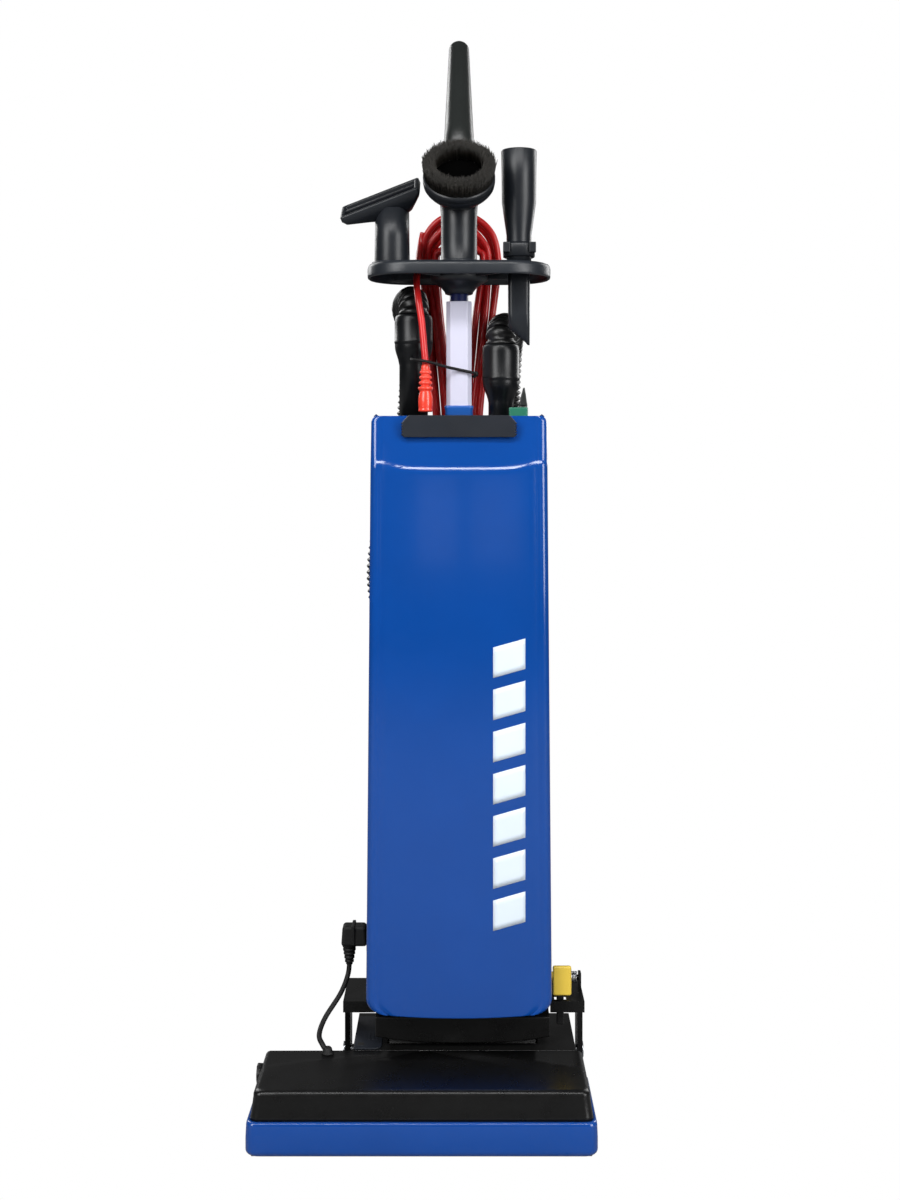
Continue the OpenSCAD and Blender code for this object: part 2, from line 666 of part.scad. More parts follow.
// The lever's round foot turns in a groove along the base's top.
module switch_base() color([0.2, 0.42, 0.36]) difference() {
    block([body_x + switch_left, switch_y - 9, shell_top], [body_x + switch_right, switch_y + 9, switch_z]);
    bar_x(body_x + switch_left - 1, body_x + switch_right + 1, switch_y, switch_z, switch_foot_r + fit);
}

module power_switch() color([0.1, 0.1, 0.11]) translate([body_x, 0, 0]) union() {
    bar_x(lever_left, lever_right, switch_y, switch_z, switch_foot_r);
    front_slab(switch_y - 7, switch_y + 7) polygon([
        [lever_left, switch_z + 2], [lever_right, switch_z + 2],
        [lever_right - 3, switch_z + 23], [lever_left + 4.9, switch_z + 23]
    ]);
}

// ---- Tools ----

module crevice_tool() color([0.22, 0.23, 0.24]) translate([body_x + crevice_x, tool_y, 0]) {
    difference() {
        union() {
            bar_z(1030, 1095, 0, 0, cuff_r);
            translate([0, 0, 990]) cylinder(r1 = 14.5, r2 = cuff_r, h = 40);
            bar_z(caddy_top, 990, 0, 0, 14.5);
            bar_z(970, 987, 0, 0, 18.5);
            block([-12.8, -6.5, 868], [12.8, 6.5, caddy_top]);
        }
        bar_z(1035, 1096, 0, 0, cuff_r - 3.3);
        bar_z(1000, 1036, 0, 0, 11);
        block([-10.8, -4.5, 860], [10.8, 4.5, 1001]);
        translate([-14, -8, 889]) rotate([0, 38, 0]) block([-6, 0, -30], [40, 16, 0]);
    }
}

// The wide head is tipped to the front and to one side.
module upholstery_head() translate([-11, 0, head_z]) rotate([head_tip, 0, 0]) rotate([0, -22, 0])
    children();

module upholstery_tool() color([0.22, 0.23, 0.24]) translate([body_x + upholstery_x, tool_y, 0]) {
    difference() {
        union() {
            bar_z(caddy_top, head_z - 7, 0, 0, cuff_r - 0.5);
            bar_z(caddy_top - 16, caddy_top, 0, 0, tool_hole_r - 0.5);
            upholstery_head() block([-49, -19, -17], [49, 19, 11]);
        }
        bar_z(caddy_top - 17, head_z - 11, 0, 0, 11);
        upholstery_head() block([-44, -14, -6], [44, 14, 12]);
    }
}

// The dusting brush's bell, about its own axis with the brush at the top.
module bell(inset) rotate_extrude() polygon([
    [0, -12], [21 - inset, -12], [22 - inset, 2], [41 - inset, 30], [41 - inset, 38], [0, 38]
]);

module dusting_brush() color([0.2, 0.21, 0.22]) translate([body_x, dust_y, 0]) difference() {
    union() {
        bar_z(caddy_top, dust_z - 6, 0, 0, cuff_r);
        bar_z(caddy_top - 16, caddy_top, 0, 0, tool_hole_r - 0.5);
        translate([0, 0, dust_z]) rotate([dust_tilt, 0, 0]) bell(0);
    }
    bar_z(caddy_top - 17, dust_z - 10, 0, 0, 11);
    translate([0, 0, dust_z]) rotate([dust_tilt, 0, 0]) translate([0, 0, 3])
        cylinder(r1 = 12, r2 = 26, h = 40);
}

module dusting_bristles() color([0.16, 0.14, 0.12]) translate([body_x, dust_y, dust_z])
    rotate([dust_tilt, 0, 0]) difference() {
        translate([0, 0, 38.05]) cylinder(r = 40, h = 22);
        translate([0, 0, 38]) cylinder(r = 26, h = 23);
    }

head_base();
head_cover();
bumper();
rear_housing();
service_plate();
swivel_drum();
brush_motor();
drive_belt();
brush_bearings();
pivot_pins();
rear_axles();
head_screws();
motor_pulley();
brush_core();
brush_bristles();
rear_wheel(wheel_xs[0]);  // rear_wheel_left
rear_wheel(wheel_xs[1]);  // rear_wheel_right
roller_carriage();
front_roller(roller_xs[0]);  // front_roller_left
front_roller(roller_xs[1]);  // front_roller_right
height_knob();
yoke();
neck();
body_shell();
partition();
cover_gasket();
filter_bag();
motor_filter();
vacuum_motor();
motor_rings();
exhaust_filter();
riser_tube();
inlet_elbow();
hose();
wand_cuff();
inlet_cuff();
switch_base();
handle_tube();
lower_collar();
upper_spigot();
caddy();
grip();
handle_screws();
power_cord();
cord_plug();
lower_cord_hook();
cord_tie();
pigtail_plug();
pigtail_cord();
upper_cord_hook();
release_pedal();
pedal_spring();
vacuum_fan();
front_cover();
cover_latch();
power_switch();
crevice_tool();
upholstery_tool();
dusting_brush();
dusting_bristles();
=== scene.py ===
"""Looks of the upright vacuum cleaner: shells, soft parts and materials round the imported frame."""
import json
import math
import random
import bmesh
import bpy
from mathutils import Matrix, Vector


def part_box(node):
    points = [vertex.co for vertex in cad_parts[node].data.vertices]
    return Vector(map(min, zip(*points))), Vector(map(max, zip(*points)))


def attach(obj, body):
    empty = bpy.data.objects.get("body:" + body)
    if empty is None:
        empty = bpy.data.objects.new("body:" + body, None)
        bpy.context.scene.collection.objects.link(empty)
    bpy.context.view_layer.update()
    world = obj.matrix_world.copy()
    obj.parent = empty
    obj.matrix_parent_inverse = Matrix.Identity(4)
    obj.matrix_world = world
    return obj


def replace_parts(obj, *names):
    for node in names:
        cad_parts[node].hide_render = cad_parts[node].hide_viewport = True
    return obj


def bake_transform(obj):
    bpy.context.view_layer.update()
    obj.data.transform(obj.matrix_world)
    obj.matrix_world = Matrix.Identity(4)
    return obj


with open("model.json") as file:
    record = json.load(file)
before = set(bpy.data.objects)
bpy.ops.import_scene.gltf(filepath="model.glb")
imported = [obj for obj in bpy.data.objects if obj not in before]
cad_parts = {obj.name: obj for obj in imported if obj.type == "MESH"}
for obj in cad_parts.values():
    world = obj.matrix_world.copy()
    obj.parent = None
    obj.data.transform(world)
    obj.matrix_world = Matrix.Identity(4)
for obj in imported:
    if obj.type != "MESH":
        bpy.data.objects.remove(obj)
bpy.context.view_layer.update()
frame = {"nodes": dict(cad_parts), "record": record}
nodes = frame["nodes"]
random.seed(14)

MM = 0.001


# ---------------------------------------------------------------- materials

def linear(rgb):
    """Screen colour, 0 to 255, as a linear colour with alpha."""
    out = []
    for value in rgb:
        c = value / 255
        out.append(c / 12.92 if c <= 0.04045 else ((c + 0.055) / 1.055) ** 2.4)
    return (*out, 1.0)


def noise(tree, scale, detail=4.0, stretch=None):
    """Noise in object space; stretch squeezes the pattern along an axis."""
    coords = tree.nodes.new("ShaderNodeTexCoord")
    node = tree.nodes.new("ShaderNodeTexNoise")
    node.inputs["Scale"].default_value = scale
    node.inputs["Detail"].default_value = detail
    if stretch:
        mapping = tree.nodes.new("ShaderNodeMapping")
        mapping.inputs["Scale"].default_value = stretch
        tree.links.new(coords.outputs["Object"], mapping.inputs["Vector"])
        tree.links.new(mapping.outputs["Vector"], node.inputs["Vector"])
    else:
        tree.links.new(coords.outputs["Object"], node.inputs["Vector"])
    return node.outputs["Fac"]


def ramp(tree, source, low, high, at=(0.3, 0.7)):
    """A two-stop colour ramp driven by source."""
    node = tree.nodes.new("ShaderNodeValToRGB")
    node.color_ramp.elements[0].position = at[0]
    node.color_ramp.elements[0].color = low
    node.color_ramp.elements[1].position = at[1]
    node.color_ramp.elements[1].color = high
    tree.links.new(source, node.inputs["Fac"])
    return node.outputs["Color"]


def mixed(tree, fac, socket, color):
    """The colour from socket, changing to a plain colour where fac is 1."""
    node = tree.nodes.new("ShaderNodeMix")
    node.data_type = "RGBA"
    tree.links.new(fac, node.inputs["Factor"])
    tree.links.new(socket, node.inputs["A"])
    node.inputs["B"].default_value = color
    return node.outputs["Result"]


def scaled(color, k):
    """The colour made k times as bright, kept within white."""
    return (*(min(1.0, c * k) for c in color[:3]), 1.0)


def surface(name, rgb, rough=(0.3, 0.45), grain=900.0, bump=0.05, mottle=0.12, wear=0.25,
            metallic=0.0, coat=0.0, stretch=None, specks=0.0, specular=0.5):
    """A moulded or metal surface: mottled colour, fine grain, uneven gloss and paler worn edges."""
    mat = bpy.data.materials.new(name)
    mat.use_nodes = True
    tree = mat.node_tree
    shader = tree.nodes["Principled BSDF"]
    base = linear(rgb)
    cloud = noise(tree, 14.0, 5.0, stretch)
    color = ramp(tree, cloud, scaled(base, 1 - mottle), scaled(base, 1 + mottle))
    fine = noise(tree, grain, 3.0, stretch)
    if specks:
        spot = ramp(tree, noise(tree, grain * 0.6, 2.0), (0, 0, 0, 1), (1, 1, 1, 1), (0.66, 0.74))
        pale = scaled(base, 1 + 6 * specks)
        color = mixed(tree, spot, color, pale)
    if wear:
        geometry = tree.nodes.new("ShaderNodeNewGeometry")
        edge = ramp(tree, geometry.outputs["Pointiness"], (0, 0, 0, 1), (wear, wear, wear, 1), (0.52, 0.62))
        pale = tuple(min(1.0, c + 0.10) for c in base[:3]) + (1.0,)
        color = mixed(tree, edge, color, pale)
    tree.links.new(color, shader.inputs["Base Color"])
    gloss = tree.nodes.new("ShaderNodeMapRange")
    gloss.inputs["To Min"].default_value = rough[0]
    gloss.inputs["To Max"].default_value = rough[1]
    tree.links.new(noise(tree, 60.0, 6.0, stretch), gloss.inputs["Value"])
    tree.links.new(gloss.outputs["Result"], shader.inputs["Roughness"])
    relief = tree.nodes.new("ShaderNodeBump")
    relief.inputs["Strength"].default_value = bump
    relief.inputs["Distance"].default_value = 0.4 * MM
    tree.links.new(fine, relief.inputs["Height"])
    tree.links.new(relief.outputs["Normal"], shader.inputs["Normal"])
    shader.inputs["Metallic"].default_value = metallic
    shader.inputs["Coat Weight"].default_value = coat
    shader.inputs["Coat Roughness"].default_value = 0.08
    shader.inputs["Specular IOR Level"].default_value = specular
    return mat


BLUE = surface("blue_gloss", (4, 66, 146), (0.1, 0.18), 1400, 0.015, 0.04, 0.15, coat=0.3)
BLACK = surface("black_cover", (13, 13, 13), (0.22, 0.36), 1500, 0.14, 0.2, 0.05, specks=0.5, specular=0.35)
SHELL = surface("black_shell", (13, 13, 14), (0.3, 0.45), 1300, 0.2, 0.15, 0.08, specular=0.4)
PLATE = surface("grey_plate", (15, 21, 31), (0.4, 0.55), 1800, 0.25, 0.12, 0.12, specular=0.4)
DARK = surface("dark_plastic", (14, 14, 15), (0.35, 0.55), 1500, 0.2, 0.15, 0.1, specular=0.4)
TOOL = surface("tool_plastic", (17, 21, 27), (0.3, 0.44), 1600, 0.14, 0.14, 0.12, specular=0.42)
CADDY = surface("caddy_plastic", (25, 30, 37), (0.3, 0.44), 1500, 0.2, 0.12, 0.15)
CUFF = surface("cuff_plastic", (8, 10, 13), (0.26, 0.38), 1500, 0.1, 0.12, 0.1, specular=0.32)
GRIP = surface("grip_plastic", (30, 33, 32), (0.26, 0.4), 1400, 0.22, 0.16, 0.1, specks=0.12)
RUBBER = surface("black_rubber", (9, 9, 9), (0.5, 0.7), 1200, 0.25, 0.2, 0.08, specular=0.35)
HOSE = surface("hose_plastic", (12, 12, 13), (0.28, 0.42), 1300, 0.12, 0.2, 0.12, specular=0.45)
STEEL = surface("bright_steel", (176, 178, 182), (0.2, 0.4), 1100, 0.08, 0.08, 0.3, metallic=1.0)
MOTOR = surface("motor_metal", (150, 152, 156), (0.35, 0.5), 900, 0.2, 0.1, 0.3, metallic=0.9)
CORE = surface("brush_core_metal", (94, 95, 98), (0.35, 0.5), 900, 0.15, 0.1, 0.3, metallic=0.8)
TUBE = surface("tube_aluminium", (200, 200, 218), (0.3, 0.42), 2200, 0.05, 0.04, 0.1,
               stretch=(1.0, 1.0, 0.02))
FITTING = surface("blue_fitting", (30, 88, 168), (0.25, 0.4), 1300, 0.1, 0.08, 0.2)
# The blue fitting darkened to navy: painted shade for the upper spigot, which sits in the caddy's shadow.
SHADED_BLUE = surface("blue_fitting_painted_shade", (16, 26, 74), (0.3, 0.45), 1300, 0.1, 0.1, 0.15)
GREEN = surface("green_base", (34, 112, 88), (0.2, 0.35), 1200, 0.08, 0.15, 0.2, coat=0.3)
YELLOW = surface("yellow_pedal", (222, 190, 68), (0.38, 0.52), 1300, 0.22, 0.08, 0.15)
RED = surface("red_cord", (206, 28, 30), (0.26, 0.4), 1200, 0.08, 0.16, 0.1, coat=0.15)
PLUG = surface("red_plug", (242, 66, 46), (0.2, 0.34), 1200, 0.08, 0.08, 0.25, coat=0.3)
PAPER = surface("bag_paper", (222, 212, 190), (0.75, 0.9), 500, 0.5, 0.1, 0.0)
FLEECE = surface("filter_fleece", (232, 232, 226), (0.8, 0.95), 700, 0.6, 0.08, 0.0)
# Near-black and almost unreflective: painted shade for the depth inside the duster's open middle, not a
# material of the tool.
PAINTED_SHADE = surface("painted_shade_void", (2, 2, 2), (0.85, 0.95), 900, 0.02, 0.0, 0.0, specular=0.02)
BRISTLE = surface("bristle_fibre", (30, 27, 22), (0.45, 0.6), 2500, 0.3, 0.45, 0.0)
DECAL = surface("pale_decal", (222, 234, 246), (0.2, 0.3), 1400, 0.03, 0.03, 0.0, coat=0.3)

FINISH = {
    "blue_gloss": BLUE, "black_cover": BLACK, "grey_plate": PLATE, "dark_plastic": DARK,
    "tool_plastic": TOOL, "grip_plastic": GRIP, "black_rubber": RUBBER, "hose_plastic": HOSE,
    "bristle_fibre": BRISTLE, "bright_steel": STEEL, "motor_metal": MOTOR,
    "brush_core_metal": CORE, "tube_aluminium": TUBE, "blue_fitting": FITTING,
    "green_base": GREEN, "yellow_pedal": YELLOW, "red_cord": RED, "red_plug": PLUG,
    "bag_paper": PAPER, "filter_fleece": FLEECE,
}

# The record's slot for each finish; the last five are looks of their own within a slot, one of them the
# near-black painted shade inside the duster.
SLOT = {finish.name: slot for slot, finish in FINISH.items()}
SLOT |= {SHELL.name: "black_cover", CADDY.name: "tool_plastic", CUFF.name: "tool_plastic",
         PAINTED_SHADE.name: "tool_plastic", DECAL.name: "blue_gloss"}


# ---------------------------------------------------------------- shared shapes

def piece(name, verts, faces, mat, body, *stands_for, slot=None, smooth=True):
    """A finished mesh piece that rides on a body and stands for CAD nodes."""
    mesh = bpy.data.meshes.new(name)
    mesh.from_pydata([tuple(v) for v in verts], [], faces)
    mesh.validate()
    bm = bmesh.new()
    bm.from_mesh(mesh)
    bmesh.ops.recalc_face_normals(bm, faces=bm.faces)
    bm.to_mesh(mesh)
    bm.free()
    mesh.materials.append(mat)
    mesh.polygons.foreach_set("use_smooth", [smooth] * len(mesh.polygons))
    obj = bpy.data.objects.new(name, mesh)
    bpy.context.scene.collection.objects.link(obj)
    if body:
        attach(obj, body)
    if stands_for:
        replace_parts(obj, *stands_for)
    return obj


def soften(obj, width, segments=3, angle=35):
    """Rounds the piece's sharp edges, width in millimetres."""
    mod = obj.modifiers.new("soft_edges", "BEVEL")
    mod.width = width * MM
    mod.segments = segments
    mod.limit_method = "ANGLE"
    mod.angle_limit = math.radians(angle)
    mod.harden_normals = False
    return obj


def thicken(obj, depth):
    """Gives an open sheet its wall, inwards, depth in millimetres."""
    mod = obj.modifiers.new("wall", "SOLIDIFY")
    mod.thickness = depth * MM
    mod.offset = -1
    return obj


def ring_faces(rings, around, closed=True, caps=True):
    """Faces between equal rings of points, with end caps."""
    faces = []
    last = around if closed else around - 1
    for i in range(rings - 1):
        for a in range(last):
            b = (a + 1) % around
            faces.append((i * around + a, i * around + b, (i + 1) * around + b, (i + 1) * around + a))
    if caps:
        faces.append(tuple(range(around - 1, -1, -1)))
        faces.append(tuple((rings - 1) * around + a for a in range(around)))
    return faces


def lathe(name, profile, centre, mat, body, *stands_for, turn=None, around=64):
    """A turned piece: profile is (radius, height) in millimetres along its own axis."""
    turn = turn or Matrix.Identity(3)
    verts = []
    for radius, height in profile:
        for k in range(around):
            a = 2 * math.pi * k / around
            local = Vector((radius * math.cos(a), radius * math.sin(a), height)) * MM
            verts.append(centre + turn @ local)
    if profile[0] != profile[-1]:
        faces = ring_faces(len(profile), around)
    else:
        verts = verts[:-around]
        faces = [tuple(i % len(verts) for i in face)
                 for face in ring_faces(len(profile), around, caps=False)]
    return piece(name, verts, faces, mat, body, *stands_for)


def skin(name, rings, mat, body, *stands_for, caps=False):
    """A skin through equal rings of places, each open at its back."""
    verts = [p for ring in rings for p in ring]
    faces = ring_faces(len(rings), len(rings[0]), closed=False, caps=caps)
    return piece(name, verts, faces, mat, body, *stands_for)


def curve_through(points, steps, closed=False):
    """A smooth curve through points, as a list of places."""
    n = len(points)
    out = []
    for i in range(n if closed else n - 1):
        four = [points[(i + k) % n] if closed else points[min(max(i + k, 0), n - 1)] for k in (-1, 0, 1, 2)]
        p0, p1, p2, p3 = (Vector(p) for p in four)
        for k in range(steps):
            t = k / steps
            out.append(0.5 * (2 * p1 + (p2 - p0) * t + (2 * p0 - 5 * p1 + 4 * p2 - p3) * t * t
                              + (3 * p1 - p0 - 3 * p2 + p3) * t ** 3))
    if not closed:
        out.append(Vector(points[-1]))
    return out


def evenly(path, gap):
    """The same path with places an equal distance apart."""
    out = [path[0]]
    left = gap
    for a, b in zip(path, path[1:]):
        length = (b - a).length
        while left <= length and length > 0:
            out.append(a.lerp(b, left / length))
            left += gap
        left -= length
    return out


def sweep(name, path, radii, around, mat, body, *stands_for, closed=False):
    """A tube along a path in metres; radii, in millimetres, is one number or one for each place."""
    n = len(path)
    if not isinstance(radii, list):
        radii = [radii] * n
    verts = []
    side = None
    for i, place in enumerate(path):
        ahead = path[(i + 1) % n] if closed else path[min(i + 1, n - 1)]
        behind = path[i - 1] if closed else path[max(i - 1, 0)]
        along = (ahead - behind).normalized()
        if side is None:
            side = along.orthogonal().normalized()
        side = (side - along * side.dot(along)).normalized()
        other = along.cross(side)
        for k in range(around):
            a = 2 * math.pi * k / around
            verts.append(place + (side * math.cos(a) + other * math.sin(a)) * (radii[i] * MM))
    faces = ring_faces(n, around, caps=not closed)
    if closed:
        for k in range(around):
            faces.append(((n - 1) * around + k, (n - 1) * around + (k + 1) % around, (k + 1) % around, k))
    return piece(name, verts, faces, mat, body, *stands_for)


def rounded_loop(w, d, r, centre, corner=6):
    """A rounded rectangle in the XY plane, as a list of (x, y)."""
    out = []
    corners = ((w / 2 - r, d / 2 - r, 0), (r - w / 2, d / 2 - r, 90),
               (r - w / 2, r - d / 2, 180), (w / 2 - r, r - d / 2, 270))
    for cx, cy, start in corners:
        for k in range(corner + 1):
            a = math.radians(start + 90 * k / corner)
            out.append((centre[0] + cx + r * math.cos(a), centre[1] + cy + r * math.sin(a)))
    return out


def loft(name, levels, mat, body, *stands_for, turn=None, origin=None):
    """A body lofted through (w, d, r, cx, cy, z) levels in millimetres."""
    verts = []
    for w, d, r, cx, cy, z in levels:
        r = min(r, w / 2 - 0.01, d / 2 - 0.01)
        for x, y in rounded_loop(w, d, r, (cx, cy)):
            local = Vector((x, y, z)) * MM
            if turn:
                local = turn @ local
            verts.append((origin or Vector()) + local)
    around = len(verts) // len(levels)
    return piece(name, verts, ring_faces(len(levels), around), mat, body, *stands_for)


# ---------------------------------------------------------------- places, from the frame, in millimetres

def span(node):
    """A node's lowest and highest corner in millimetres."""
    low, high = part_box(node)
    return low / MM, high / MM


shell_low, shell_high = span("body_shell")
BODY_X = (shell_low.x + shell_high.x) / 2
cover_low, cover_high = span("front_cover")
tube_low, tube_high = span("handle_tube")
TUBE_Y = (tube_low.y + tube_high.y) / 2


def at(x, y, z):
    """A place in metres from millimetres, with x measured from the body's centre plane."""
    return Vector((BODY_X + x, y, z)) * MM


def axis_of(node):
    """The foot, at z 0, of a node's upright middle line, in metres."""
    low, high = span(node)
    return Vector(((low.x + high.x) / 2, (low.y + high.y) / 2, 0)) * MM


# Where the tools stand in the caddy: x from the body's centre plane, and y.
UPHOLSTERY_PLACE = (-78, 22)
CREVICE_PLACE = (70, 22)
DUSTER_PLACE = (0, 8)

# Turns a lathe's axis from Z to X.
ACROSS = Matrix(((0, 0, 1), (1, 0, 0), (0, 1, 0)))


# ---------------------------------------------------------------- front cover

COVER_LOW_W = cover_high.x - cover_low.x
COVER_HIGH_W = COVER_LOW_W - 11
CREASE = cover_high.z - 60
FRONT_Y = cover_low.y
BACK_Y = cover_high.y


def cover_half_width(z):
    """Half width of the cover at a height, with its round corners."""
    t = (z - cover_low.z) / (cover_high.z - cover_low.z)
    half = (COVER_LOW_W + (COVER_HIGH_W - COVER_LOW_W) * t) / 2
    for edge, radius in ((z - cover_low.z, 19), (cover_high.z - z, 7)):
        if edge < radius:
            half -= radius - math.sqrt(max(0.0, radius ** 2 - (radius - edge) ** 2))
    return half


def cover_slope(x, z):
    """How far the face lies back above the arched crease; a short step catches the light there."""
    arch = CREASE - 3 + 9 * min(1.0, abs(x) / 88) ** 5
    if z <= arch:
        return 0.0
    t = (z - arch) / (cover_high.z - arch)
    return 1.6 * min(1.0, t * 11) + 11 * t


def cover_front(x, z):
    """Front face of the cover: slightly crowned, with a slope above the crease."""
    return FRONT_Y + 2.2 * (x / 95) ** 2 + cover_slope(x, z)


def cover_ring(z, depth):
    """One level of the cover, from its left back edge round the front to its right back edge."""
    half = cover_half_width(z)
    sag = 3.5 * max(0.0, 1 - (z - cover_low.z) / 30)
    profile = [(-half, BACK_Y), (-half - 0.2, BACK_Y - 8), (-half, FRONT_Y + 12)]
    for k in range(1, 7):
        a = math.radians(90 * k / 6)
        profile.append((-half + 8 - 8 * math.cos(a), FRONT_Y + 9 - 7.5 * math.sin(a)))
    profile.append((-half + 10.5, FRONT_Y + 1.6))
    profile.append((-half + 12.5, FRONT_Y + 2.6))
    steps = 22
    inner = half - 14.5
    for k in range(steps + 1):
        x = -inner + 2 * inner * k / steps
        profile.append((x, cover_front(x, z)))
    left = profile[:11]
    profile += [(-x, y) for x, y in reversed(left)]
    out = []
    for x, y in profile:
        lift = sag * (abs(x) / half) ** 2 if half > 1 else 0
        if abs(x) > inner + 0.01:
            y += cover_slope(inner, z) * min(1.0, (BACK_Y - y) / (BACK_Y - FRONT_Y))
        out.append(at(x, BACK_Y + (y - BACK_Y) * depth, z + lift))
    return out


def front_cover():
    """The blue door of the body, an open-backed shell with rolled side edges."""
    low, high = cover_low.z + 0.4, cover_high.z - 0.4
    levels = [(low, d) for d in (0.02, 0.3, 0.6, 0.8, 0.9, 0.96)]
    levels += [(low + 19 * (1 - math.cos(math.radians(9 * k))), 1.0) for k in range(1, 11)]
    z = low + 30
    while z < CREASE - 20:
        levels.append((z, 1.0))
        z += 22
    levels += [(CREASE - 16 + 2.4 * k, 1.0) for k in range(16)]
    levels += [(CREASE + 26, 1.0), (CREASE + 36, 1.0), (CREASE + 45, 1.0)]
    levels += [(high - 7 * (1 - math.sin(math.radians(15 * k))), 1.0) for k in range(0, 7)]
    levels += [(high, d) for d in (0.95, 0.85, 0.6, 0.3, 0.02)]
    rings = [cover_ring(z, d) for z, d in levels]
    thicken(skin("cover_door", rings, BLUE, "cover", "front_cover"), 2.6)


def cover_stripes():
    """Plain pale slanted bars down the right of the cover, in place of a mark."""
    verts, faces = [], []
    tall, wide, gap, slant = 34, 36, 13, 10
    x0 = 38
    z = 214
    for _ in range(7):
        start = len(verts)
        across, up = 6, 5
        for j in range(up + 1):
            for i in range(across + 1):
                x = x0 + wide * i / across
                height = z + tall * j / up + slant * (i / across - 0.5)
                verts.append(at(x, cover_front(x, height) - 0.35, height))
        for j in range(up):
            for i in range(across):
                a = start + j * (across + 1) + i
                faces.append((a, a + 1, a + across + 2, a + across + 1))
        z += tall + gap
    obj = piece("cover_stripes", verts, faces, DECAL, "cover")
    return thicken(obj, 0.3)


def latch():
    """The carry and release latch: chamfered top corners, grip teeth at both ends, finger lip below."""
    low, high = span("cover_latch")
    half = (high.x - low.x) / 2
    outline = [(-half + 3, low.z)]
    teeth = 5
    for k in range(teeth * 2 + 1):
        z = low.z + 1.5 + (high.z - low.z - 9) * k / (teeth * 2)
        outline.append((-half + (0 if k % 2 else 1.6), z))
    outline += [(-half + 7, high.z - 1.2), (-half + 9, high.z)]
    outline += [(-x, z) for x, z in reversed(outline)]
    depths = [(low.y + 0.3, 0.97), (low.y + 0.4, 0.985), (low.y + 1.2, 0.995), (low.y + 2.4, 1.0),
              (high.y, 1.0)]
    mid_z = (low.z + high.z) / 2
    verts = []
    for y, k in depths:
        for x, z in outline:
            verts.append(at(x * k, y, mid_z + (z - mid_z) * k))
    obj = piece("latch_handle", verts, ring_faces(len(depths), len(outline)), PLATE, "latch",
                "cover_latch", smooth=False)
    soften(obj, 0.8, 2)


# ---------------------------------------------------------------- body, neck and yoke

def body_shell():
    """Back half of the body: round back corners, the foot cut off so that it can lean far back."""
    low, high = shell_low, shell_high
    levels = []
    for z, back in ((low.z, 62), (low.z + 1.5, 63), (172, high.y - 0.8), (178, high.y), (300, high.y),
                    (500, high.y), (700, high.y), (high.z - 2, high.y), (high.z, high.y - 1.5)):
        t = (z - low.z) / (high.z - low.z)
        half = (high.x - low.x) / 2 - 5.5 * t
        ring = [(-half, low.y)]
        radius = 15
        for k in range(7):
            a = math.radians(90 * k / 6)
            ring.append((-half + radius * (1 - math.cos(a)), back - radius * (1 - math.sin(a))))
        ring += [(-x, y) for x, y in reversed(ring)]
        levels.append([at(x, y, z) for x, y in ring])
    obj = skin("body_back", levels, SHELL, "upper", "body_shell", caps=True)
    for poly in obj.data.polygons:
        if len(poly.vertices) > 4:
            poly.use_smooth = False
    thicken(obj, 3.2)


def neck():
    """Black foot of the body: a bowed lower lip in front, hollowed to clear the drum behind."""
    low, high = span("neck")
    pivot_y, pivot_z = 25.0, 45.0
    clear = span("swivel_drum")[1].z - pivot_z + 2.5
    mid = (low.x + high.x) / 2
    half = (high.x - low.x) / 2
    columns = 28
    verts = []
    for k in range(columns + 1):
        x = mid + half * (2 * k / columns - 1)
        bow = 7 * abs(2 * k / columns - 1) ** 2.4
        top = high.z - 0.4
        ring = [(low.y, low.z + bow + 1.5), (low.y, top - 6), (low.y + 1, top - 4.8), (-20, top - 4.8),
                (-20, top), (high.y, top)]
        for a in (60, 75, 90, 105, 120, 132, 142, 150):
            y = pivot_y + clear * math.cos(math.radians(a))
            z = pivot_z + clear * math.sin(math.radians(a))
            ring.append((y, max(z, low.z + bow)))
        ring.append((low.y + 3, low.z + bow))
        verts += [Vector((x, y, z)) * MM for y, z in ring]
    around = len(verts) // (columns + 1)
    obj = piece("body_neck", verts, ring_faces(columns + 1, around), BLACK, "upper",
                "neck", smooth=False)
    return soften(obj, 1.6, 3, 30)


def corner_box(name, low, high, mat, body, *stands_for, slot=None, taper=(0, 0), edge=2.0, segments=3):
    """A softened box between two corners in millimetres: taper shrinks its top along X and Y."""
    low, high = Vector(low), Vector(high)
    verts = []
    for z, k in ((low.z, 0), (high.z, 1)):
        for x, y in ((low.x, low.y), (high.x, low.y), (high.x, high.y), (low.x, high.y)):
            cx = x + k * taper[0] * (1 if x == low.x else -1)
            cy = y + k * taper[1] * (1 if y == low.y else -1)
            verts.append(Vector((cx, cy, z)) * MM)
    faces = [(3, 2, 1, 0), (4, 5, 6, 7), (0, 1, 5, 4), (1, 2, 6, 5), (2, 3, 7, 6), (3, 0, 4, 7)]
    obj = piece(name, verts, faces, mat, body, *stands_for, slot=slot, smooth=False)
    return soften(obj, edge, segments, 30)


# ---------------------------------------------------------------- floor head

def head_outline(half, front, back, r, steps=7):
    """Plan outline of the head from its left back corner round the front to its right back corner."""
    out = [(-half, back), (-half, (front + back) / 2)]
    for k in range(steps + 1):
        a = math.radians(90 * k / steps)
        out.append((-half + r * (1 - math.cos(a)), front + r * (1 - math.sin(a))))
    for k in range(-4, 5):
        out.append((k * (half - r) / 5, front))
    out += [(-x, y) for x, y in reversed(out[:steps + 3])]
    return out


def wrap(name, levels, mat, node, wall):
    """A skin that wraps the head's front and sides, through (half, front, back, r, z) levels."""
    rings = [[Vector((x, y, z)) * MM for x, y in head_outline(half, front, back, r)]
             for half, front, back, r, z in levels]
    thicken(skin(name, rings, mat, "head", node), wall)


